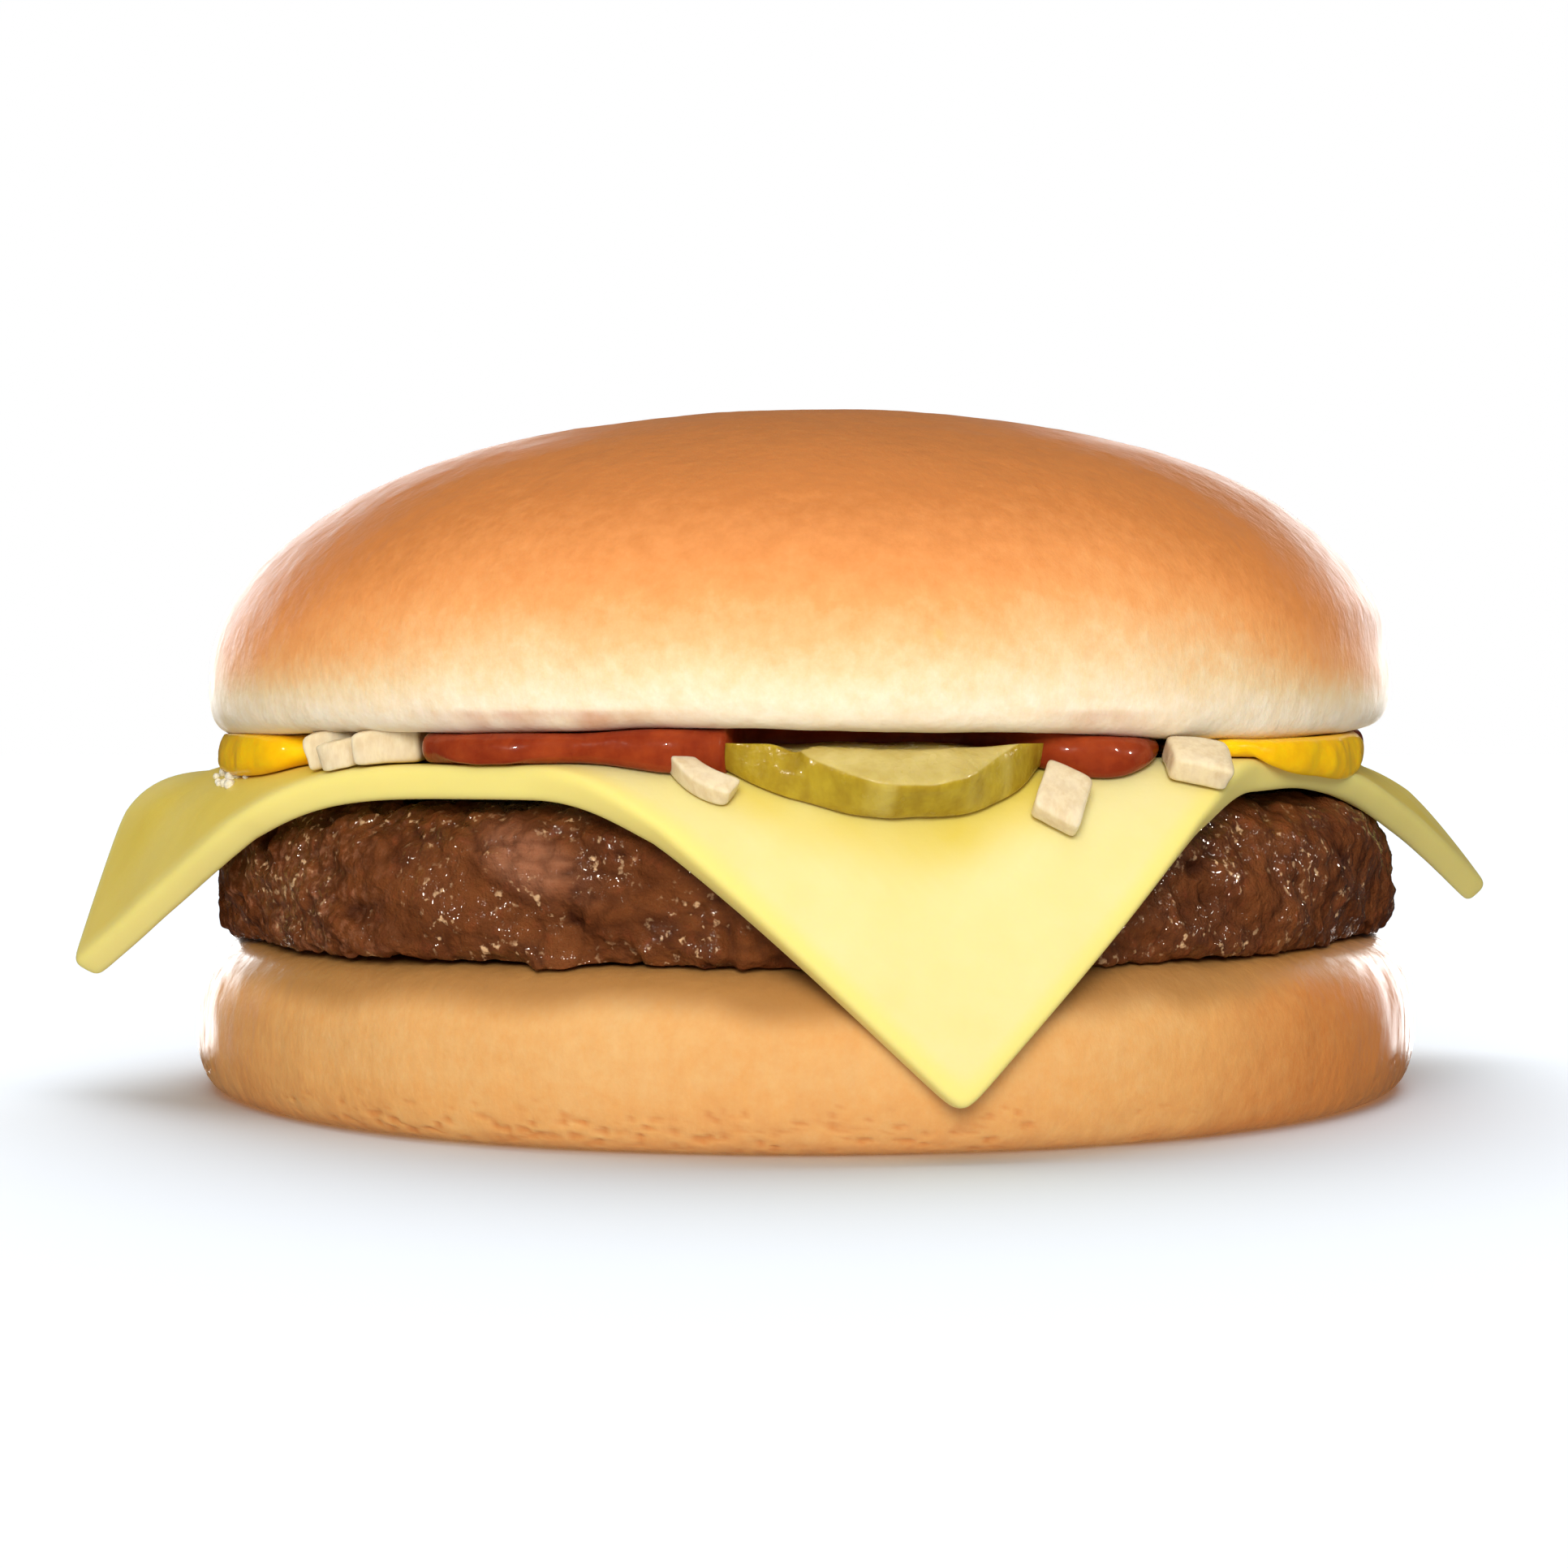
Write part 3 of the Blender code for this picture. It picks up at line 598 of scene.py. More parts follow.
def round_rows(rows, rim_rows, rim, squareness):
    """Shares of the way out and levels for a flat piece: upper face, a rim rounded by a share, lower face."""
    across, up = quarter(rim_rows, squareness)
    inner = np.linspace(0.0, 1 - rim, rows)[:-1]
    edge = 1 - rim * (1 - across)
    share = np.concatenate([inner, edge, edge[::-1][1:], inner[::-1]])
    level = np.concatenate([np.ones(rows - 1), (1 + up) / 2, ((1 - up) / 2)[::-1][1:], np.zeros(rows - 1)])
    return share, level


def slice_surface():
    """A square with corners as a superellipse of power 80, in rings from the middle of the upper face over a
    squarish edge to the middle of the lower one, then draped. Where its right, back and left corners fold it
    is
    painted a deeper olive: painted shade, partly an oily tint."""
    turn = 2 * math.pi * np.arange(680) / 680
    turn = turn + 0.2 * np.sin(4 * turn)
    square = (np.abs(np.cos(turn)) ** 80 + np.abs(np.sin(turn)) ** 80) ** (-1 / 80)
    half = SLICE_SIDE / 2
    outline = half * np.stack([square * np.cos(turn), square * np.sin(turn)], axis=-1)
    edge = SLICE_BEVEL / half
    share, level = round_rows(52, 9, edge, 3.2)
    local = share[:, None, None] * outline
    diagonal = (RIGHT - FRONT) / math.sqrt(2)
    crosswise = (RIGHT + FRONT) / math.sqrt(2)
    flat = local[..., :1] * crosswise + local[..., 1:] * diagonal + SLICE_SHIFT
    spot = np.concatenate([flat, np.zeros(flat.shape[:-1] + (1,))], axis=-1)
    thick = SLICE_THICK * level[:, None] + 0.00006 * grain(spot, 0.009, 2, 131)
    points = drape(flat, thick)
    points[..., 2] += 0.00008 * grain(spot, 0.014, 2, 137)
    cut = np.repeat(ease((share - (1 - 1.6 * edge)) / (0.8 * edge))[:, None], len(turn), axis=1)
    # Round the pickle the slice turns deeper gold: partly a brine stain, partly a painted glow of light
    # through the pickle.
    from_pickle = np.linalg.norm(flat - PICKLE_CENTRE, axis=-1)
    brine = ease((PICKLE_RADIUS + BRINE_REACH - from_pickle) / BRINE_FADE)
    brine = brine * (0.8 + 0.35 * grain(spot, 0.005, 2, 139))
    # Painted shade, partly an oily tint: deeper olive where the right, back and left corners fold from the
    # front light.
    oily = np.zeros(brine.shape)
    for fold in FOLDS[1:]:
        oily = np.maximum(oily, ease((past_start(flat, fold) + 0.007) / 0.010))
    oily = oily * (0.85 + 0.3 * grain(spot, 0.010, 2, 143))
    return points, {"cut": cut, "brine": np.clip(brine, 0, 1), "oily": np.clip(oily, 0, 1)}


def cheese_finish():
    """Processed cheddar: even, softly translucent yellow with faint pale clouds, a deeper olive on the folds
    that is painted shade and partly oil, a paler cut edge, and a deeper gold round the pickle that is partly
    a brine stain and partly a painted glow."""
    made = Finish("melting cheddar", IOR=1.45, Specular_IOR_Level=0.7,
                  Subsurface_Weight=0.35, Subsurface_Radius=(1.0, 0.75, 0.22), Subsurface_Scale=0.0022)
    clouds = made.patches(0.35, 0.68, 0.008, 3.0)
    yellow = made.blend(clouds, CHEDDAR, CHEDDAR_PALE)
    # Painted shade on the folds, partly an oily tint.
    yellow = made.blend(made.stain("oily"), yellow, CHEDDAR_OILY)
    # The brine stain and painted glow round the pickle.
    wetted = made.blend(made.scaled(made.stain("brine"), 0.9), yellow, CHEDDAR_GOLD)
    made.paint("Base Color", made.blend(made.stain("cut"), wetted, CHEDDAR_CUT))
    made.bumps("Normal", (0.000012, 0.0005, 3.0), (0.00008, 0.0045, 3.0))
    made.paint("Roughness", made.scaled(made.noise(0.006, 3.0), 0.25, 0.36))
    return made


slice_points, slice_stains = slice_surface()
cheese = skinned("cheddar_slice", slice_points, slice_stains)
dressed(cheese, cheese_finish(), "cheese", "cheese_slice")


# ---------------------------------------------------------------- ketchup
# A squirt of ketchup that the crown has pressed out flat to its rim. It wets the cheese below and the bread
# above, its rim bulges, and at the front right it has started to run down over the fold of the cheese.
CROWN_RADIUS = 0.0465
CROWN_BASE = 0.0277
CROWN_BELLY = 0.0312
CROWN_CORNER = 0.0026
CROWN_CORNER_SQUARENESS = 2.6
POCKET_DEPTH = 0.0015
POCKET_EDGE = 0.0040
POCKET_RIM = 0.0442
RIM_LIFT = 0.0002
RIM_LIFT_REACH = 0.0085
SQUEEZED_FREE = 0.0446
RIM_SAG = 0.00025
RIM_DROOP = 0.0009
OVERHANG = 0.0013
FREE_RIM_CURVE = 320
SAUCE_SQUARENESS = 2.2

# The dices of onion: degrees round, distance from the middle on the flat slice, size round, outwards and up,
# twist in degrees, and the bend of a strip.
DICES = {
    "onion_left_1": (221.6, 0.0433, (0.0031, 0.0030, 0.0026), -42, 0.0),
    "onion_left_2": (228.8, 0.0432, (0.0044, 0.0030, 0.0024), 38, 0.0),
    "onion_front": (261.0, 0.0438, (0.0052, 0.0015, 0.0014), -29, 0.0009),
    "onion_right_1": (291.6, 0.0450, (0.0036, 0.0031, 0.0017), 48, 0.0),
    "onion_right_2": (305.0, 0.0456, (0.0040, 0.0026, 0.0019), -35, 0.0),
    "onion_back_1": (60.0, 0.0430, (0.0047, 0.0031, 0.0022), -10, 0.0),
    "onion_back_2": (96.0, 0.0434, (0.0037, 0.0033, 0.0020), 26, 0.0),
    "onion_back_3": (143.0, 0.0430, (0.0051, 0.0029, 0.0022), 6, 0.0),
}
# The dabs of mustard: middle angle, half the spread in degrees, radius of the middle, half the width, and how
# far the one end lies further out than the middle.
DABS = {
    "mustard_left": (198.5, 18.5, 0.0408, 0.0056, 0.0),
    "mustard_right": (329.5, 21.5, 0.0402, 0.0052, 0.0014),
}
# Where the ketchup swells out, at the rim: middle angle, half the spread in degrees, and how far.
KETCHUP_REACH = 0.0440
KETCHUP_SWELLS = ((246, 22, 0.0010), (258, 9, 0.0013), (75, 20, 0.0008), (165, 12, 0.0009))
# At the front right a lobe runs out from a smaller reach, and past it the outline is drawn in to a limit.
KETCHUP_LOBE = (298.0, 11.5, 0.0380, 0.0077)
KETCHUP_WAIST = (308.0, 4.0, 0.0412)
# The hollow for the pickle: how far its middle is turned to the right, and half its spread, in degrees.
HOLLOW_TURN = 7.0
HOLLOW_HALF = 20.5
DICE_MARGIN = 2.5
DAB_MARGIN = 6.0
TOMATO = (0.33, 0.049, 0.010)
TOMATO_DEEP = (0.22, 0.025, 0.006)


def slice_top(plan):
    """Height of the cheese's upper face over points of the plan: the flat point that lands there is found by
    moving a first guess by what it misses, twelve times."""
    flat = plan.copy()
    for _ in range(12):
        landed = drape(flat, SLICE_THICK)
        flat = flat + 0.9 * (plan - landed[..., :2])
    return drape(flat, SLICE_THICK)[..., 2]


def rim_fall(plan):
    """How far the crown's rim has sunk: a little all round, and most at the front right, fading inwards."""
    angle = np.arctan2(plan[..., 1], plan[..., 0])
    inwards = ease((np.hypot(plan[..., 0], plan[..., 1]) - 0.030) / 0.012)
    return (RIM_SAG + RIM_DROOP * swelling(angle, 312, 45)) * inwards


def pickle_dent(plan):
    """How deep the pickle has dented the crown's cut face: all of the depth over it, fading round it."""
    radius = np.hypot(plan[..., 0], plan[..., 1])
    from_pickle = np.linalg.norm(plan - PICKLE_CENTRE, axis=-1)
    dent = ease((PICKLE_RADIUS + 1.2 * POCKET_EDGE - from_pickle) / POCKET_EDGE)
    return POCKET_DEPTH * dent * ease((POCKET_RIM - radius) / POCKET_EDGE)


def rim_rise(plan):
    """How far the crown's rim stands higher: lifted over each dice of onion, less what it has fallen."""
    lift = np.zeros(plan.shape[:-1])
    for degrees, out, _, _, _ in DICES.values():
        spot = out * np.array([math.cos(math.radians(degrees)), math.sin(math.radians(degrees))])
        away = np.linalg.norm(plan - spot, axis=-1)
        lift = np.maximum(lift, ease(1.5 - 1.5 * away / RIM_LIFT_REACH))
    return RIM_LIFT * lift - rim_fall(plan)


def crown_underside(plan):
    """Height of the crown's lower face: flat, dented by the pickle, lifted by onion, rounded at its rim."""
    radius = np.hypot(plan[..., 0], plan[..., 1])
    turned_in = np.clip((radius - CROWN_RADIUS + CROWN_CORNER) / CROWN_CORNER, 0, 0.995)
    rounding = 1 - (1 - turned_in**CROWN_CORNER_SQUARENESS) ** (1 / CROWN_CORNER_SQUARENESS)
    low = 1 - ease(rounding)
    height = CROWN_BASE + TILT * plan[..., 0] + (CROWN_BELLY - CROWN_BASE) * rounding
    return height + pickle_dent(plan) * (turned_in <= 0) + rim_rise(plan) * low


def squeezed(plan, level, seed):
    """Sauce between cheese and crown: level 0 lies on the cheese, level 1 against the bread, in between it
    is blended, and small swells are added to the free rim."""
    sides = [np.abs((plan - SLICE_SHIFT) @ (RIGHT + way) / math.sqrt(2)) for way in (FRONT, -FRONT)]
    past_edge = np.maximum(*sides) - SLICE_SIDE / 2
    low = slice_top(plan) + 0.00004 - OVERHANG * ease((past_edge + 0.0004) / 0.0014)
    past_rim = np.maximum(np.hypot(plan[..., 0], plan[..., 1]) - SQUEEZED_FREE, 0.0)
    bread = np.minimum(crown_underside(plan), CROWN_BASE + 0.0005 + TILT * plan[..., 0])
    high = np.maximum(bread - FREE_RIM_CURVE * past_rim**2, low + 0.0002)
    points = np.concatenate([plan, (low + (high - low) * level)[..., None]], axis=-1)
    free = ease(4 * level * (1 - level))
    swell = 0.00022 * grain(points, 0.0042, 2, seed) + 0.00008 * grain(points, 0.0014, 2, seed + 3)
    return points + outward(points) * (swell * free)[..., None]


def swelling(angle, degrees, half_width):
    """1 at the middle angle, falling smoothly to 0 at half_width degrees to either side."""
    off = np.abs((angle - math.radians(degrees) + math.pi) % (2 * math.pi) - math.pi)
    hill = 0.5 + 0.5 * np.cos(np.pi * off / math.radians(half_width))
    return np.where(off < math.radians(half_width), hill, 0)


def drawn_in(reach, limit, near):
    """Pulls an outline in to the limit where near is 1 and leaves it where near is 0."""
    return reach + (np.minimum(limit, reach) - reach) * np.clip(near, 0, 1)


def ketchup_surface():
    """A pool whose outline wanders, swells where the sauce runs out, and is drawn in round its neighbours."""
    angle = 2 * math.pi * np.arange(700) / 700
    reach = KETCHUP_REACH + 0.0005 * np.cos(7 * angle + 1.0) + 0.0004 * np.cos(12 * angle)
    for degrees, half_width, further in KETCHUP_SWELLS:
        reach += further * swelling(angle, degrees, half_width)
    drawing_in = [DICES[name] for name in DICES if name not in ("onion_front", "onion_right_1")]
    for degrees, radius, size, _, _ in drawing_in:
        half = math.degrees(0.55 * size[0] / radius) + DICE_MARGIN
        reach = drawn_in(reach, radius - 0.55 * size[1] - GAP, 3 * swelling(angle, degrees, half))
    for degrees, spread, radius, half_width, lean in DABS.values():
        near = 4 * swelling(angle, degrees, spread + DAB_MARGIN)
        reach = drawn_in(reach, radius - half_width - lean - GAP, near)
    far = math.hypot(*PICKLE_CENTRE)
    off = (angle - math.atan2(PICKLE_CENTRE[1], PICKLE_CENTRE[0]) + math.pi) % (2 * math.pi) - math.pi
    hole = PICKLE_RADIUS * 1.03 + GAP
    inside = np.maximum(hole**2 - (far * np.sin(off)) ** 2, 0.0)
    near_side = far * np.cos(off) - np.sqrt(inside)
    beside = (np.abs(np.degrees(off) - HOLLOW_TURN) < HOLLOW_HALF) & (inside > 0)
    reach = np.where(beside, np.minimum(reach, near_side), reach)
    degrees, half_width, least, further = KETCHUP_LOBE
    reach = np.maximum(reach, least + further * swelling(angle, degrees, half_width) ** 0.5)
    degrees, half_width, limit = KETCHUP_WAIST
    reach = drawn_in(reach, limit, 3 * swelling(angle, degrees, half_width))
    share, level = round_rows(24, 16, 0.030, SAUCE_SQUARENESS)
    plan = share[:, None, None] * (reach[:, None] * np.stack([np.cos(angle), np.sin(angle)], axis=-1))
    return squeezed(plan, np.repeat(level[:, None], len(angle), axis=1), 151)


def sauce_finish(name, colour, deep, roughness):
    """Sauce: smooth, wet and slightly see-through, with faint clots and a few bubbles just under the skin."""
    made = Finish(name, IOR=1.40, Specular_IOR_Level=0.08, Coat_Weight=0.3, Coat_Roughness=0.03,
                  Subsurface_Weight=0.25, Subsurface_Radius=(1.0, 0.3, 0.12), Subsurface_Scale=0.0012)
    clots = made.patches(0.38, 0.70, 0.0022, 4.0, 0.6)
    made.paint("Base Color", made.blend(clots, deep, colour))
    made.bumps("Normal", (0.00001, 0.0006, 3.0), (0.00008, 0.0024, 3.0))
    made.paint("Roughness", made.scaled(made.noise(0.003, 3.0), 0.2, roughness))
    return made


ketchup = skinned("ketchup_pool", ketchup_surface())
dressed(ketchup, sauce_finish("ketchup", TOMATO, TOMATO_DEEP, 0.16), "ketchup", "ketchup")


# ---------------------------------------------------------------- mustard
# Two dabs of bright yellow mustard, one at each side, pressed flat and bent round with the rim. The left one
# has started to bead at its edge, where its vinegar comes out in small drops painted near white as glints.
MUSTARD = (0.95, 0.56, 0.004)
MUSTARD_DEEP = (0.90, 0.47, 0.003)
# The drops' cream and white: painted glints over their own gloss.
VINEGAR = (0.93, 0.86, 0.62)
VINEGAR_PALE = (0.98, 0.95, 0.84)


def dab_surface(degrees, spread, radius, half_width, lean, seed):
    """A long oval in plan, bent round the burger: the angle follows its length and the radius its width, with
    a lean of the radius along its length."""
    turn = 2 * math.pi * np.arange(320) / 320
    oval = (np.abs(np.cos(turn)) ** 3.5 + np.abs(np.sin(turn)) ** 3.5) ** (-1 / 3.5)
    ends = np.stack([np.cos(turn), np.sin(turn), np.full(len(turn), seed * 1.7)], axis=-1)
    oval = oval * (1 + 0.05 * grain(ends, 0.5, 2, seed))
    share, level = round_rows(16, 16, 0.20, SAUCE_SQUARENESS)
    along = share[:, None] * oval * np.cos(turn)
    aside = share[:, None] * oval * np.sin(turn)
    angle = np.radians(degrees - spread * along)
    out = radius + half_width * aside + lean * along
    plan = np.stack([out * np.cos(angle), out * np.sin(angle)], axis=-1)
    return squeezed(plan, np.repeat(level[:, None], len(turn), axis=1), seed)


def beads(name, degrees, radius, count, seed):
    """Small balls scattered over a patch of the slice, half sunk in what they lie on: one ball's points and
    faces, copied as an array, each copy scaled and moved to its place."""
    turn = np.linspace(0, math.pi, 9)
    ball = listed(turned(np.sin(turn), np.cos(turn), 14))
    quads, fans = woven(9, 14)
    cells = np.stack([np.arange(count), np.full(count, seed), np.zeros(count, int)], axis=-1)
    angle = np.radians(degrees + 5.5 * scattered(cells, 1))
    out = radius + 0.0011 * scattered(cells, 2)
    size = 0.00032 + 0.00014 * scattered(cells, 3)
    plan = np.stack([out * np.cos(angle), out * np.sin(angle)], axis=-1)
    centres = np.concatenate([plan, (slice_top(plan[None])[0] + 0.4 * size)[:, None]], axis=-1)
    points = centres[:, None, :] + size[:, None, None] * ball
    onward = (np.arange(count) * len(ball))[:, None, None]
    mesh = bpy.data.meshes.new(name)
    faces = (quads + onward).reshape(-1, 4).tolist() + (fans + onward).reshape(-1, 3).tolist()
    mesh.from_pydata(points.reshape(-1, 3), [], faces)
    mesh.shade_smooth()
    return linked(name, mesh)


mustard_finish = sauce_finish("mustard", MUSTARD, MUSTARD_DEEP, 0.20)
dabs = []
for dab, (degrees, spread, radius, half_width, lean) in DABS.items():
    points = dab_surface(degrees, spread, radius, half_width, lean, 160 + int(degrees))
    dabs.append(dressed(skinned(dab + "_dab", points), mustard_finish, "mustard", dab))

# The drops are glossy, and their near-white colour is a painted glint.
drop_finish = Finish("vinegar drops with painted glints", Roughness=0.06, IOR=1.38, Coat_Weight=0.6, Coat_Roughness=0.03,
                     Transmission_Weight=0.35)
milky = drop_finish.patches(0.35, 0.65, 0.0005, 2.0)
drop_finish.paint("Base Color", drop_finish.blend(milky, VINEGAR, VINEGAR_PALE))
drops = dressed(beads("mustard_drops", 200.6, 0.0458, 16, 11), drop_finish, "mustard")


# ----------------------------------------------------------- pickle slice
# One round of gherkin, sliced thick. Its skin is olive with paler stripes, its flesh is wet and half clear
# with a ring of seeds, and it has slid forward so that it bends with the front fold of the cheese.
SKIN = (0.45, 0.315, 0.022)
SKIN_PALE = (0.60, 0.48, 0.13)
SKIN_DARK = (0.33, 0.21, 0.013)
FLESH = (0.58, 0.455, 0.15)
FLESH_CLEAR = (0.50, 0.375, 0.10)
SEED = (0.78, 0.66, 0.30)
RIM_SHARE = 0.045
SEED_SIZE = 0.0022
NICK_WIDTH = 0.0008
PRESSED_TOP = 0.02650


def pickle_surface():
    """A disc in rings over its upper face, a nearly straight rim and its lower face, with a wavy outline and
    a nick in its upper edge, draped on the cheese. Its top is held down to where the crown presses."""
    angle = 2 * math.pi * np.arange(420) / 420
    share, level = (rows[:, None] for rows in round_rows(34, 18, RIM_SHARE, 4.0))
    wavy = 1 + 0.008 * np.cos(3 * angle + 1.0) + 0.008 * np.cos(7 * angle)
    wavy += 0.06 * swelling(angle, 230, 30) + 0.02 * swelling(angle, 303, 26)
    flat_round = np.stack([np.cos(angle), np.sin(angle), 0 * angle], axis=-1)
    lifted = np.stack([0 * level, 0 * level, level], axis=-1) * PICKLE_THICK
    spot = PICKLE_RADIUS * share[..., None] * flat_round + lifted
    knobs = 0.014 * grain(spot, 0.0034, 2, 171) * ease((share - 0.8) / 0.2)
    nick = np.exp(-(((angle - math.radians(250)) * PICKLE_RADIUS / NICK_WIDTH) ** 2))
    nick = nick * ease((level - 0.45) / 0.5) * ease((share - 0.75) / 0.2)
    radius = PICKLE_RADIUS * share * (wavy + knobs - 0.065 * nick)
    flat = PICKLE_CENTRE + radius[..., None] * np.stack([np.cos(angle), np.sin(angle)], axis=-1)
    seeds, _ = nearest_lumps(spot * np.array([1, 1, 0.2]), SEED_SIZE, 177)
    ring = ease(1 - np.abs(share - 0.52) / 0.30)
    dimple = 0.00012 * ease((0.45 - seeds) / 0.3) * ring + 0.00006 * grain(spot, 0.0026, 2, 181)
    dimple = dimple + 0.00035 * ease(1 - np.abs(share - 0.80) / 0.22)
    face = level > 0.98
    low = drape(flat, SLICE_THICK + GAP / 2)
    lean = drape(flat, SLICE_THICK + GAP / 2 + PICKLE_THICK) - low
    aside = np.abs((flat - PICKLE_CENTRE) @ RIGHT)
    straight = ease((aside - 0.0010) / 0.0075)[..., None]
    lean = lean * (1 - straight) + np.array([0, 0, PICKLE_THICK]) * straight
    points = low + lean * level[..., None]
    pressed = PRESSED_TOP - 0.00005 * np.cos(9 * angle)
    over = points[..., 2] - pressed
    crushed = over - 0.0002 * (1 - np.exp(-np.maximum(over, 0) / 0.0002))
    points[..., 2] -= np.where(over > 0, crushed, 0) * ease(level / 0.6)
    points[..., 2] -= dimple * face + 0.0006 * nick
    skin = np.repeat(ease((share - 0.955) / 0.03), len(angle), axis=1)
    skin = skin * ease((0.985 - np.repeat(level, len(angle), axis=1)) / 0.03)
    stripe = ease((grain(flat_round[None, :, :] + 0 * spot, 0.16, 2, 187) - 0.20) / 0.5)
    stripe = stripe * ease((level + 0.2) / 0.6)
    return points, {"skin": skin, "stripe": stripe * skin, "seed": ease((0.42 - seeds) / 0.2) * ring * face}


def pickle_finish():
    """Wet gherkin: striped olive skin, and half-clear flesh with paler seeds, glossy with brine."""
    made = Finish("pickled gherkin", IOR=1.38, Specular_IOR_Level=0.3, Coat_Weight=0.3, Coat_Roughness=0.05,
                  Subsurface_Weight=0.35, Subsurface_Radius=(1.0, 0.75, 0.15), Subsurface_Scale=0.0016)
    cloudy = made.patches(0.38, 0.66, 0.0022, 4.0, 0.6)
    flesh = made.blend(cloudy, FLESH_CLEAR, FLESH)
    flesh = made.blend(made.scaled(made.stain("seed"), 0.6), flesh, SEED)
    warts = made.patches(0.36, 0.66, 0.0014, 3.0, 0.6, stretch=(1, 1, 2))
    skin = made.blend(warts, SKIN_DARK, SKIN)
    skin = made.blend(made.scaled(made.stain("stripe"), 0.5), skin, SKIN_PALE)
    made.paint("Base Color", made.blend(made.stain("skin"), flesh, skin))
    made.bumps("Normal", (0.00004, 0.0005, 3.0), (0.00018, 0.0017, 3.0))
    made.paint("Roughness", made.scaled(made.noise(0.002, 3.0), 0.3, 0.10))
    return made


pickle_points, pickle_stains = pickle_surface()
gherkin = skinned("gherkin_round", pickle_points, pickle_stains)
dressed(gherkin, pickle_finish(), "pickle", "pickle_slice")


# ------------------------------------------------------------------ onion
# Raw white onion chopped into small dices. Each is a block cut from the layers, so its corners are blunt and
# its faces bow a little. They lie on the cheese along the rim, and a curved strip has slid to the front.
ONION = (0.71, 0.58, 0.385)
ONION_CLEAR = (0.66, 0.51, 0.305)
ONION_VEIN = (0.82, 0.70, 0.46)


def dice_surface(degrees, radius, size, twist, bend, seed):
    """A ball pushed out to a block whose edges are rounded as a superellipse of high power, then tapered and
    bowed, twisted about Z, bent to the arc of a strip, and laid on the cheese at its place on the rim."""
    round_turn = 2 * math.pi * np.arange(64) / 64
    round_turn = round_turn + 0.15 * np.sin(4 * round_turn)
    tilt_turn = np.linspace(-math.pi / 2, math.pi / 2, 37)[::-1]
    squared = (np.abs(np.cos(round_turn)) ** 9 + np.abs(np.sin(round_turn)) ** 9) ** (-1 / 9)
    upright = (np.abs(np.cos(tilt_turn)) ** 8 + np.abs(np.sin(tilt_turn)) ** 8) ** (-1 / 8)
    flank = (upright * np.cos(tilt_turn))[:, None]
    x = size[0] / 2 * flank * squared * np.cos(round_turn)
    y = size[1] / 2 * flank * squared * np.sin(round_turn)
    z = size[2] / 2 * np.repeat((upright * np.sin(tilt_turn))[:, None], len(round_turn), axis=1)
    block = np.stack([x, y, z], axis=-1)
    lean, taper, bow = scattered(np.array([[seed, 1, 2], [seed, 3, 4], [seed, 5, 6]]), 7)
    x, y = x * (1 + 0.16 * taper * y / size[1]) + 0.18 * lean * z, y * (1 + 0.14 * lean * x / size[0])
    y = y + bend * (1 - (2 * x / size[0]) ** 2)
    z = z * (1 + 0.12 * taper * x / size[0]) + 0.05 * bow * size[2] * np.cos(math.pi * x / size[0])
    offset = 0.01 * seed
    ripple = grain(block + offset, 0.0016, 2, 191)[..., None] * 0.00010
    x, y, z = np.moveaxis(np.stack([x, y, z], axis=-1) * (1 + ripple / 0.002), -1, 0)
    spin = math.radians(twist)
    x, y = x * math.cos(spin) - y * math.sin(spin), x * math.sin(spin) + y * math.cos(spin)
    angle = math.radians(degrees)
    outwards = np.array([math.cos(angle), math.sin(angle)])
    round_about = np.array([outwards[1], -outwards[0]])
    flat = (radius + y)[..., None] * outwards + x[..., None] * round_about
    return drape(flat, SLICE_THICK + GAP / 2 + size[2] / 2 + z)


def onion_finish():
    """Raw onion: half-clear cream with fine veins along the layers, wet and shiny."""
    made = Finish("raw white onion", IOR=1.38, Specular_IOR_Level=0.35, Coat_Weight=0.2, Coat_Roughness=0.06,
                  Subsurface_Weight=0.5, Subsurface_Radius=(1.0, 0.8, 0.5), Subsurface_Scale=0.0014)
    veins = made.patches(0.40, 0.62, 0.0006, 3.0, 0.6, stretch=(1, 1, 3))
    clouds = made.patches(0.36, 0.66, 0.0016, 3.0)
    body = made.blend(clouds, ONION_CLEAR, ONION)
    made.paint("Base Color", made.blend(made.scaled(veins, 0.5), body, ONION_VEIN))
    made.bumps("Normal", (0.00005, 0.0007, 3.0, 0.55, (1, 1, 2)))
    made.paint("Roughness", made.scaled(made.noise(0.002, 3.0), 0.2, 0.14))
    return made


onion = onion_finish()
for count, (dice, measures) in enumerate(DICES.items()):
    cut = skinned(dice + "_dice", dice_surface(*measures, seed=count + 1))
    dressed(cut, onion, "onion", dice)

# Scraps that broke off the dices as they were chopped.
SCRAPS = [
    (225.0, 0.0447, (0.0022, 0.0013, 0.0019), 12, 0.0003),
    (121.0, 0.0446, (0.0020, 0.0014, 0.0013), -30, 0.0),
    (158.5, 0.0450, (0.0024, 0.0018, 0.0015), 25, 0.0),
    (66.0, 0.0447, (0.0024, 0.0017, 0.0015), 40, 0.0),
    (149.5, 0.0443, (0.0026, 0.0016, 0.0015), -20, 0.0003),
    (102.0, 0.0446, (0.0022, 0.0016, 0.0014), 15, 0.0),
]
for count, measures in enumerate(SCRAPS):
    scrap = skinned(f"onion_scrap_{count + 1}", dice_surface(*measures, seed=count + 31))
    dressed(scrap, onion, "onion")


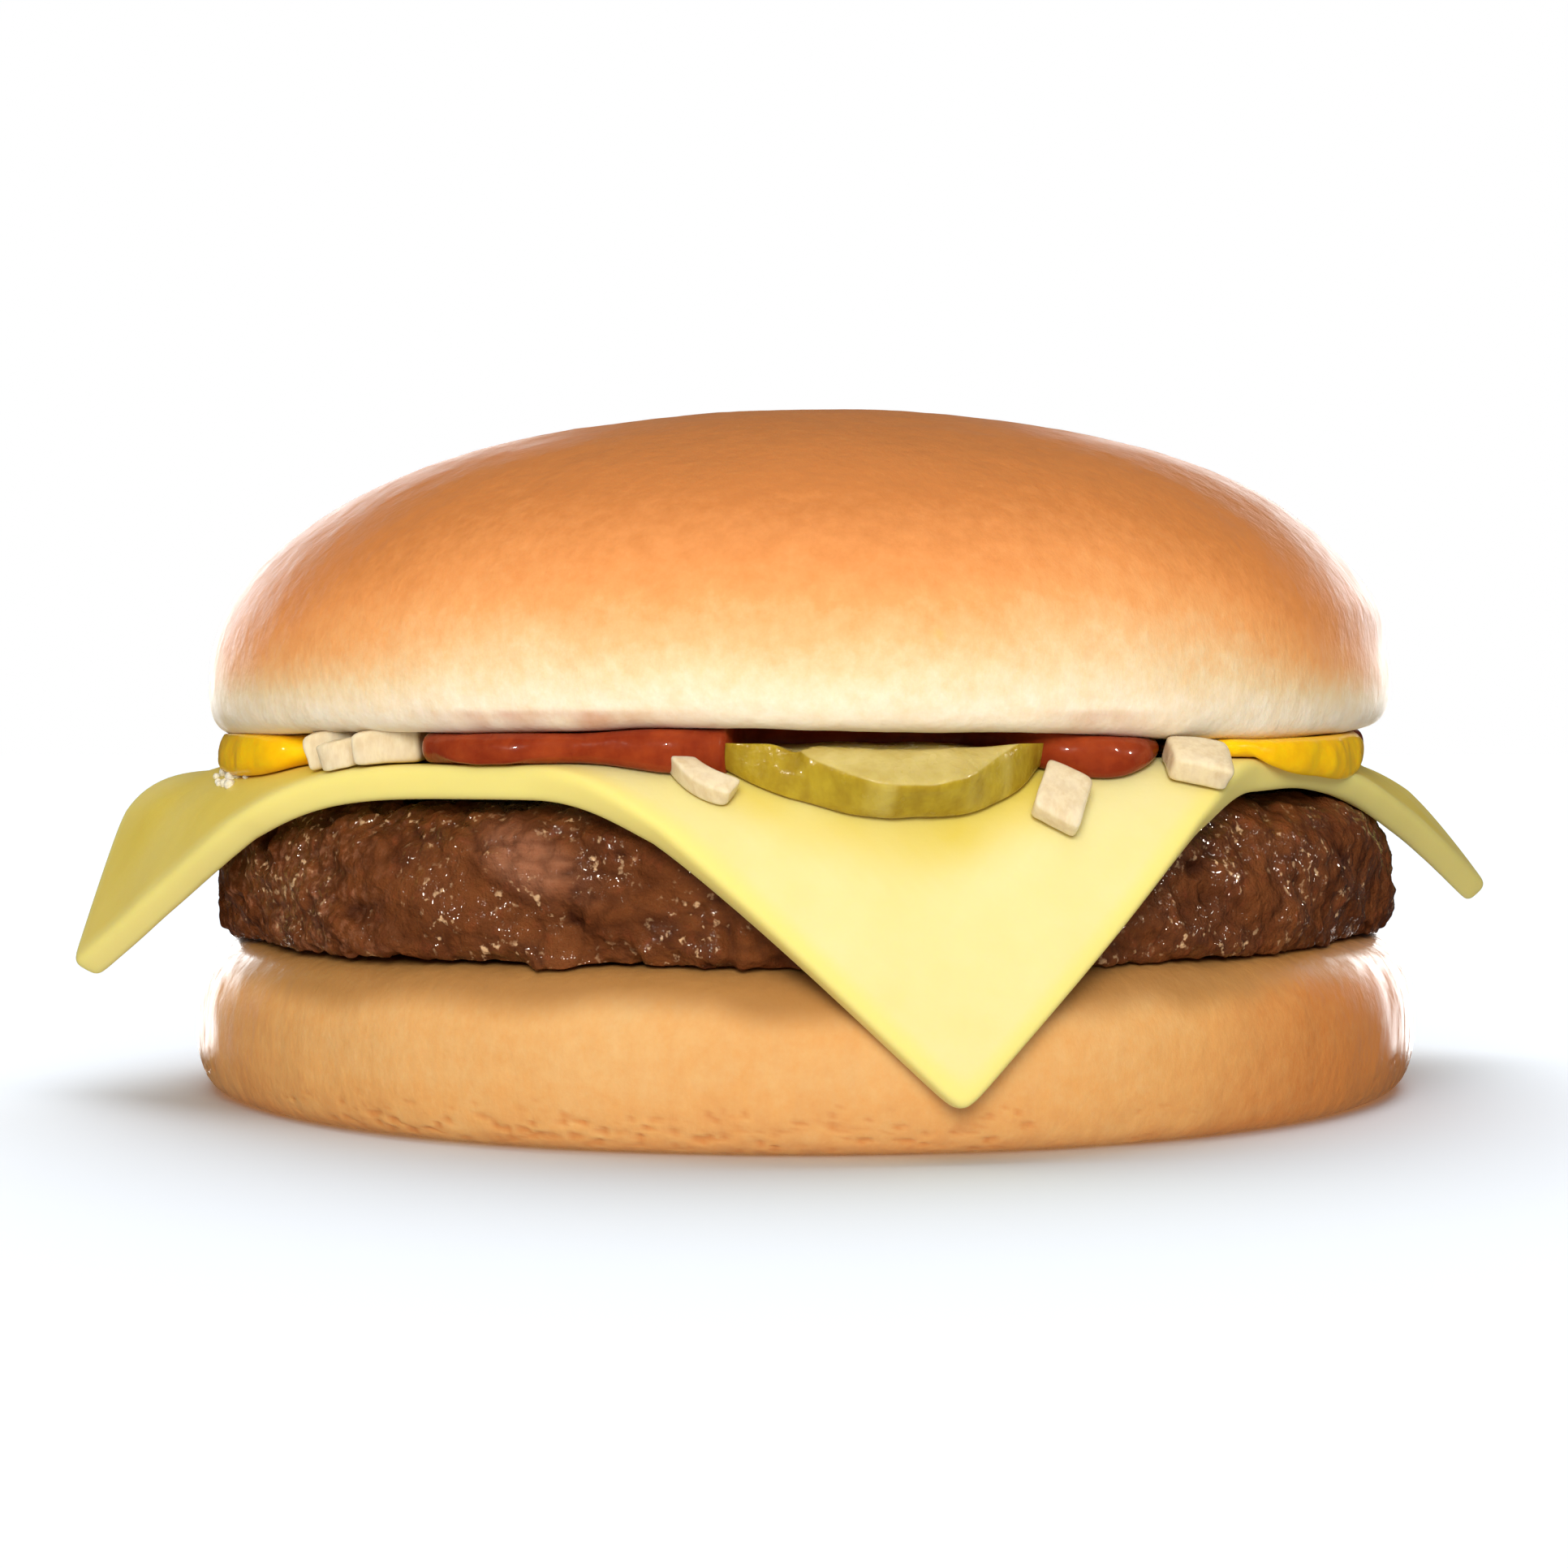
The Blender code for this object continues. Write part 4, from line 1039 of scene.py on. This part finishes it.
# ------------------------------------------------------------- bun crown
# The top half of the bun: a smooth egg-washed dome, browned on top and pale where it touched its neighbours
# in the oven. It lies loose on the filling, dented underneath by the pickle and lifted by the onion.
CROWN_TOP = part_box("bun_crown")[1].z + 0.0004
CROWN_SQUARENESS = 2.17
CROWN_LEAN = np.array([0.0009, 0.0])
CROWN_DOME_ROWS = 110
CROWN_CORNER_ROWS = 26

# How far the crust is baked at each height, from the pale seam to the brown top.
BAKE_HEIGHTS = [0.0275, 0.0293, 0.0318, 0.0345, 0.0375, 0.0425, 0.0485]
BAKE_SHARES = [0.00, 0.07, 0.22, 0.385, 0.58, 0.81, 0.97]
CREAM_CRUST = (0.91, 0.78, 0.58)
BLUSH_CRUST = (0.82, 0.60, 0.33)
APRICOT_CRUST = (0.81, 0.47, 0.205)
AMBER_CRUST = (0.79, 0.35, 0.115)
BROWN_CRUST = (0.73, 0.275, 0.076)
DARK_CRUST = (0.59, 0.200, 0.046)
TOP_CRUST = (0.53, 0.182, 0.045)
FRECKLE = (0.70, 0.42, 0.10)
SAUCE_SMEAR = (0.50, 0.13, 0.04)


def crown_surface():
    """A superellipse dome over a low rim that turns in to the cut face, turned round Z, swollen unevenly and
    leaning a little; the cut face is dented over the pickle and lifted over the onion."""
    across, up = quarter(CROWN_DOME_ROWS, CROWN_SQUARENESS)
    rim_across, rim_up = quarter(CROWN_CORNER_ROWS, CROWN_CORNER_SQUARENESS)
    rim_radius = CROWN_RADIUS - CROWN_CORNER * (1 - rim_across)
    rim_height = CROWN_BASE + (CROWN_BELLY - CROWN_BASE) * (1 - rim_up)
    radius, height = joined(
        (CROWN_RADIUS * across, CROWN_BELLY + (CROWN_TOP - 0.0002 - CROWN_BELLY) * up),
        (rim_radius[::-1][1:], rim_height[::-1][1:]),
        (np.linspace(CROWN_RADIUS - CROWN_CORNER, 0.0, 40)[1:], CROWN_BASE),
    )
    points = turned(radius, height, 560)
    facing_down = np.arange(len(radius)) >= CROWN_DOME_ROWS + CROWN_CORNER_ROWS - 1
    under = np.repeat(facing_down[:, None], points.shape[1], axis=1)
    angle = np.arctan2(points[..., 1], points[..., 0])
    around = np.hypot(points[..., 0], points[..., 1])
    rise = np.clip((points[..., 2] - CROWN_BELLY) / (CROWN_TOP - CROWN_BELLY), 0, 1)
    edge = np.clip((around - 0.040) / 0.006, 0, 1) * (1 - rise)
    swell = (0.0003 * np.cos(2 * angle - 0.4) + 0.0003 * np.cos(5 * angle + 0.9)) * edge
    swell -= 0.0004 * swelling(angle, 0, 50) * ease(rise / 0.2) * ease((0.8 - rise) / 0.4)
    swell -= 0.0008 * swelling(angle, -3, 55) * ease((0.0368 - points[..., 2]) / 0.0038)
    dented = points.copy()
    dented[..., 2] += TILT * points[..., 0] * (1 - rise)
    low = 1 - ease((points[..., 2] - CROWN_BASE) / (CROWN_BELLY - CROWN_BASE))
    dented[..., 2] += pickle_dent(points[..., :2]) * under + rim_rise(points[..., :2]) * low
    dented[..., 0] += swell * np.cos(angle)
    dented[..., 1] += swell * np.sin(angle)
    dented[..., :2] += rise[..., None] ** 2 * CROWN_LEAN

    crumb = under * ease((CROWN_RADIUS - CROWN_CORNER - 0.0004 - around) / 0.001)
    soft = 0.00016 * grain(dented, 0.013, 2, 201) * (1 - crumb)
    wrinkle = 0.000035 * grain(dented, 0.0022, 3, 203) * (1 - crumb)
    torn = 0.00015 * grain(dented, 0.0014, 3, 205) * crumb
    dented = dented + outward(dented) * (soft + wrinkle + torn)[..., None]

    height = dented[..., 2]
    bake = np.interp(height, BAKE_HEIGHTS, BAKE_SHARES)
    edge_of_brown = ease(1 - np.abs(bake - 0.40) / 0.40)
    bake += (0.07 * grain(dented, 0.012, 3, 211) + 0.02 * grain(dented, 0.003, 3, 213)) * edge_of_brown
    # Both sides, left and right, are painted darker: painted shade where the dome turns from the front light.
    bake += 0.29 * ease((np.abs(dented[..., 0]) - 0.018) / 0.024) * ease(bake / 0.35)
    bake = np.where(under & (crumb > 0), 0.0, np.clip(bake, 0, 1))
    sauce = ease((0.0291 - height) / 0.0006) * (1 - under)
    runs = swelling(angle, 248, 20) + 0.6 * swelling(angle, 296, 9)
    sauce = sauce * runs * (0.6 + 0.7 * grain(dented, 0.002, 2, 217))
    nearest, _ = nearest_lumps(dented, 0.011, 219)
    freckle = ease((0.055 - nearest) / 0.03) * (1 - crumb)
    none = np.zeros(bake.shape)
    return dented, {"bake": bake, "pit": none, "juice": none, "sauce": np.clip(sauce, 0, 1),
                    "crumb": crumb, "freckle": freckle}


crown_points, crown_stains = crown_surface()
crown = skinned("crown_bread", crown_points, crown_stains)
crown_crust = crust_finish("browned crown crust", [
    (0.0, CREAM_CRUST), (0.20, BLUSH_CRUST), (0.34, APRICOT_CRUST), (0.50, AMBER_CRUST),
    (0.66, BROWN_CRUST), (0.84, DARK_CRUST), (1.0, TOP_CRUST),
], sheen=0.10)
crust = crown_crust.shader.inputs["Base Color"].links[0].from_socket
crust = crown_crust.blend(crown_crust.scaled(crown_crust.stain("freckle"), 0.5), crust, FRECKLE)
crust = crown_crust.blend(crown_crust.scaled(crown_crust.stain("sauce"), 0.75), crust, SAUCE_SMEAR)
crown_crust.paint("Base Color", crown_crust.blend(crown_crust.stain("crumb"), crust, CRUMB))
dressed(crown, crown_crust, "bun", "bun_crown")


# ------------------------------------------------ floor, light and camera
# The burger stands on a plain white sweep. A broad softbox in front lights it, the tent round it fills the
# shadows, two strips behind it edge the crust with white, and four small warm lamps put the sparkles on what
# is wet. A lamp for the sweep alone keeps the floor white.
SWEEP_HALF = 3.0
PAPER = (0.89, 0.94, 1.0, 1.0)
TENT = {0.0: 1.0, 0.44: 0.96, 0.50: 0.48, 0.56: 0.18, 1.0: 0.85}
TENT_MIDDLE = 1.25
TENT_SIDES = 0.15
TENT_IN_GLOSS = 0.06
WARM_WHITE = (1.0, 0.88, 0.76)
BURGER_MIDDLE = (0, 0, 0.02)


def group(name, *pieces):
    """A collection of pieces that a lamp lights, or leaves out."""
    made = bpy.data.collections.new(name)
    for piece in pieces:
        made.objects.link(piece)
    return made


floor_mesh = bpy.data.meshes.new("white_floor")
corners = [(x * SWEEP_HALF, y * SWEEP_HALF, 0) for x, y in ((-1, -1), (1, -1), (1, 1), (-1, 1))]
floor_mesh.from_pydata(corners, [], [(0, 1, 2, 3)])
floor = linked("white_floor", floor_mesh)
paper = Finish("white paper", Roughness=0.9, Specular_IOR_Level=0.0, Base_Color=PAPER)
paper.bumps("Normal", (0.00002, 0.004, 2.0))
floor_mesh.materials.append(paper.material)
floor.visible_diffuse = False
floor.visible_glossy = False
sweep = group("sweep", floor)
all_but_sweep = group("all_but_sweep", floor)
crusts = group("crusts", heel, crown)
wet = group("wet", patty, ketchup, gherkin, drops, *dabs)

# The tent: its light follows the height of a direction, from straight down at 0 to straight up at 1, and
# fades from the middle to the sides. The camera sees it plain white, and gloss sees little of it.
world = bpy.data.worlds.new("white tent")
world.use_nodes = True
tent = world.node_tree


def tent_node(kind, inputs, operation=None):
    """A node of the tent, with its inputs linked or set by name or number."""
    made = tent.nodes.new("ShaderNode" + kind)
    if operation:
        made.operation = operation
    for socket, value in inputs.items():
        if isinstance(value, bpy.types.NodeSocket):
            tent.links.new(value, made.inputs[socket])
        else:
            made.inputs[socket].default_value = value
    return made


direction = tent_node("SeparateXYZ", {0: tent_node("TexCoord", {}).outputs["Generated"]})
halved = tent_node("MapRange", {"Value": direction.outputs["Z"], "From Min": -1.0})
rising = tent_node("ValToRGB", {"Fac": halved.outputs[0]})
for step in list(TENT)[1:-1]:
    rising.color_ramp.elements.new(step)
for step, light in zip(rising.color_ramp.elements, TENT.values()):
    step.color = (light, light, light, 1.0)
sideways = tent_node("Math", {0: direction.outputs["X"]}, "ABSOLUTE")
flags = tent_node("MapRange", {"Value": sideways.outputs[0], "To Min": TENT_MIDDLE, "To Max": TENT_SIDES})
strength = tent_node("Math", {0: rising.outputs[0], 1: flags.outputs[0]}, "MULTIPLY")
rays = tent_node("LightPath", {})
for ray, seen in {"Is Glossy Ray": TENT_IN_GLOSS, "Is Camera Ray": 1.0}.items():
    strength = tent_node("Mix", {"Factor": rays.outputs[ray], "A": strength.outputs[0], "B": seen})
tent.nodes["Background"].inputs["Color"].default_value = (1.0, 1.0, 1.0, 1.0)
tent.links.new(strength.outputs[0], tent.nodes["Background"].inputs["Strength"])
world.cycles.sampling_method = "NONE"
bpy.context.scene.world = world


def softbox(name, place, size, watts, lights, aim=BURGER_MIDDLE, colour=(1.0, 1.0, 1.0), **seen):
    """A lamp of width and height size at a place, turned to face the aim, that lights one group. It can be
    hidden from diffuse light, from gloss or from the camera."""
    lamp = bpy.data.lights.new(name, "AREA")
    lamp.shape = "RECTANGLE"
    lamp.size, lamp.size_y = size
    lamp.energy = watts
    lamp.color = colour
    lit = linked(name, lamp)
    lit.location = place
    lit.rotation_euler = (Vector(aim) - Vector(place)).to_track_quat("-Z", "Y").to_euler()
    for kind, shown in seen.items():
        setattr(lit, "visible_" + kind, shown)
    lit.light_linking.receiver_collection = lights


all_but_sweep.collection_objects[0].light_linking.link_state = "EXCLUDE"
softbox("key", (-0.03, -0.84, 0.36), (0.34, 0.34), 7.4, all_but_sweep, aim=(0, 0, 0.025), glossy=False)
softbox("sparkle", (-0.16, -0.62, 0.42), (0.035, 0.035), 2.2, wet, colour=WARM_WHITE, diffuse=False)
for hand in (-1, 1):
    softbox("strip", (hand * 0.25, 0.46, 0.08), (0.36, 0.30), 2.8, crusts, diffuse=False, camera=False)
for place in ((-0.55, -0.40, 0.25), (0.42, -0.55, 0.35), (0.62, -0.20, 0.22)):
    softbox("glint", place, (0.04, 0.04), 1.8, wet, colour=WARM_WHITE, diffuse=False, camera=False)
sun = bpy.data.lights.new("sweep_lamp", "SUN")
sun.energy = 2.35
sun.angle = math.radians(64)
wash = linked("sweep_lamp", sun)
wash.rotation_euler = (math.radians(-31), 0, 0)
wash.light_linking.receiver_collection = sweep

view = bpy.data.cameras.new("view")
view.lens = 66.02
view.sensor_width = 36.0
view.clip_start = 0.01
camera = linked("view", view)
camera.location = (0.0, -0.2316, 0.0275)
sight = Vector((-0.00157, 0.0, 0.02319)) - camera.location
camera.rotation_euler = sight.to_track_quat("-Z", "Y").to_euler()
scene = bpy.context.scene
scene.camera = camera
scene.view_settings.view_transform = "Standard"
scene.view_settings.look = "None"
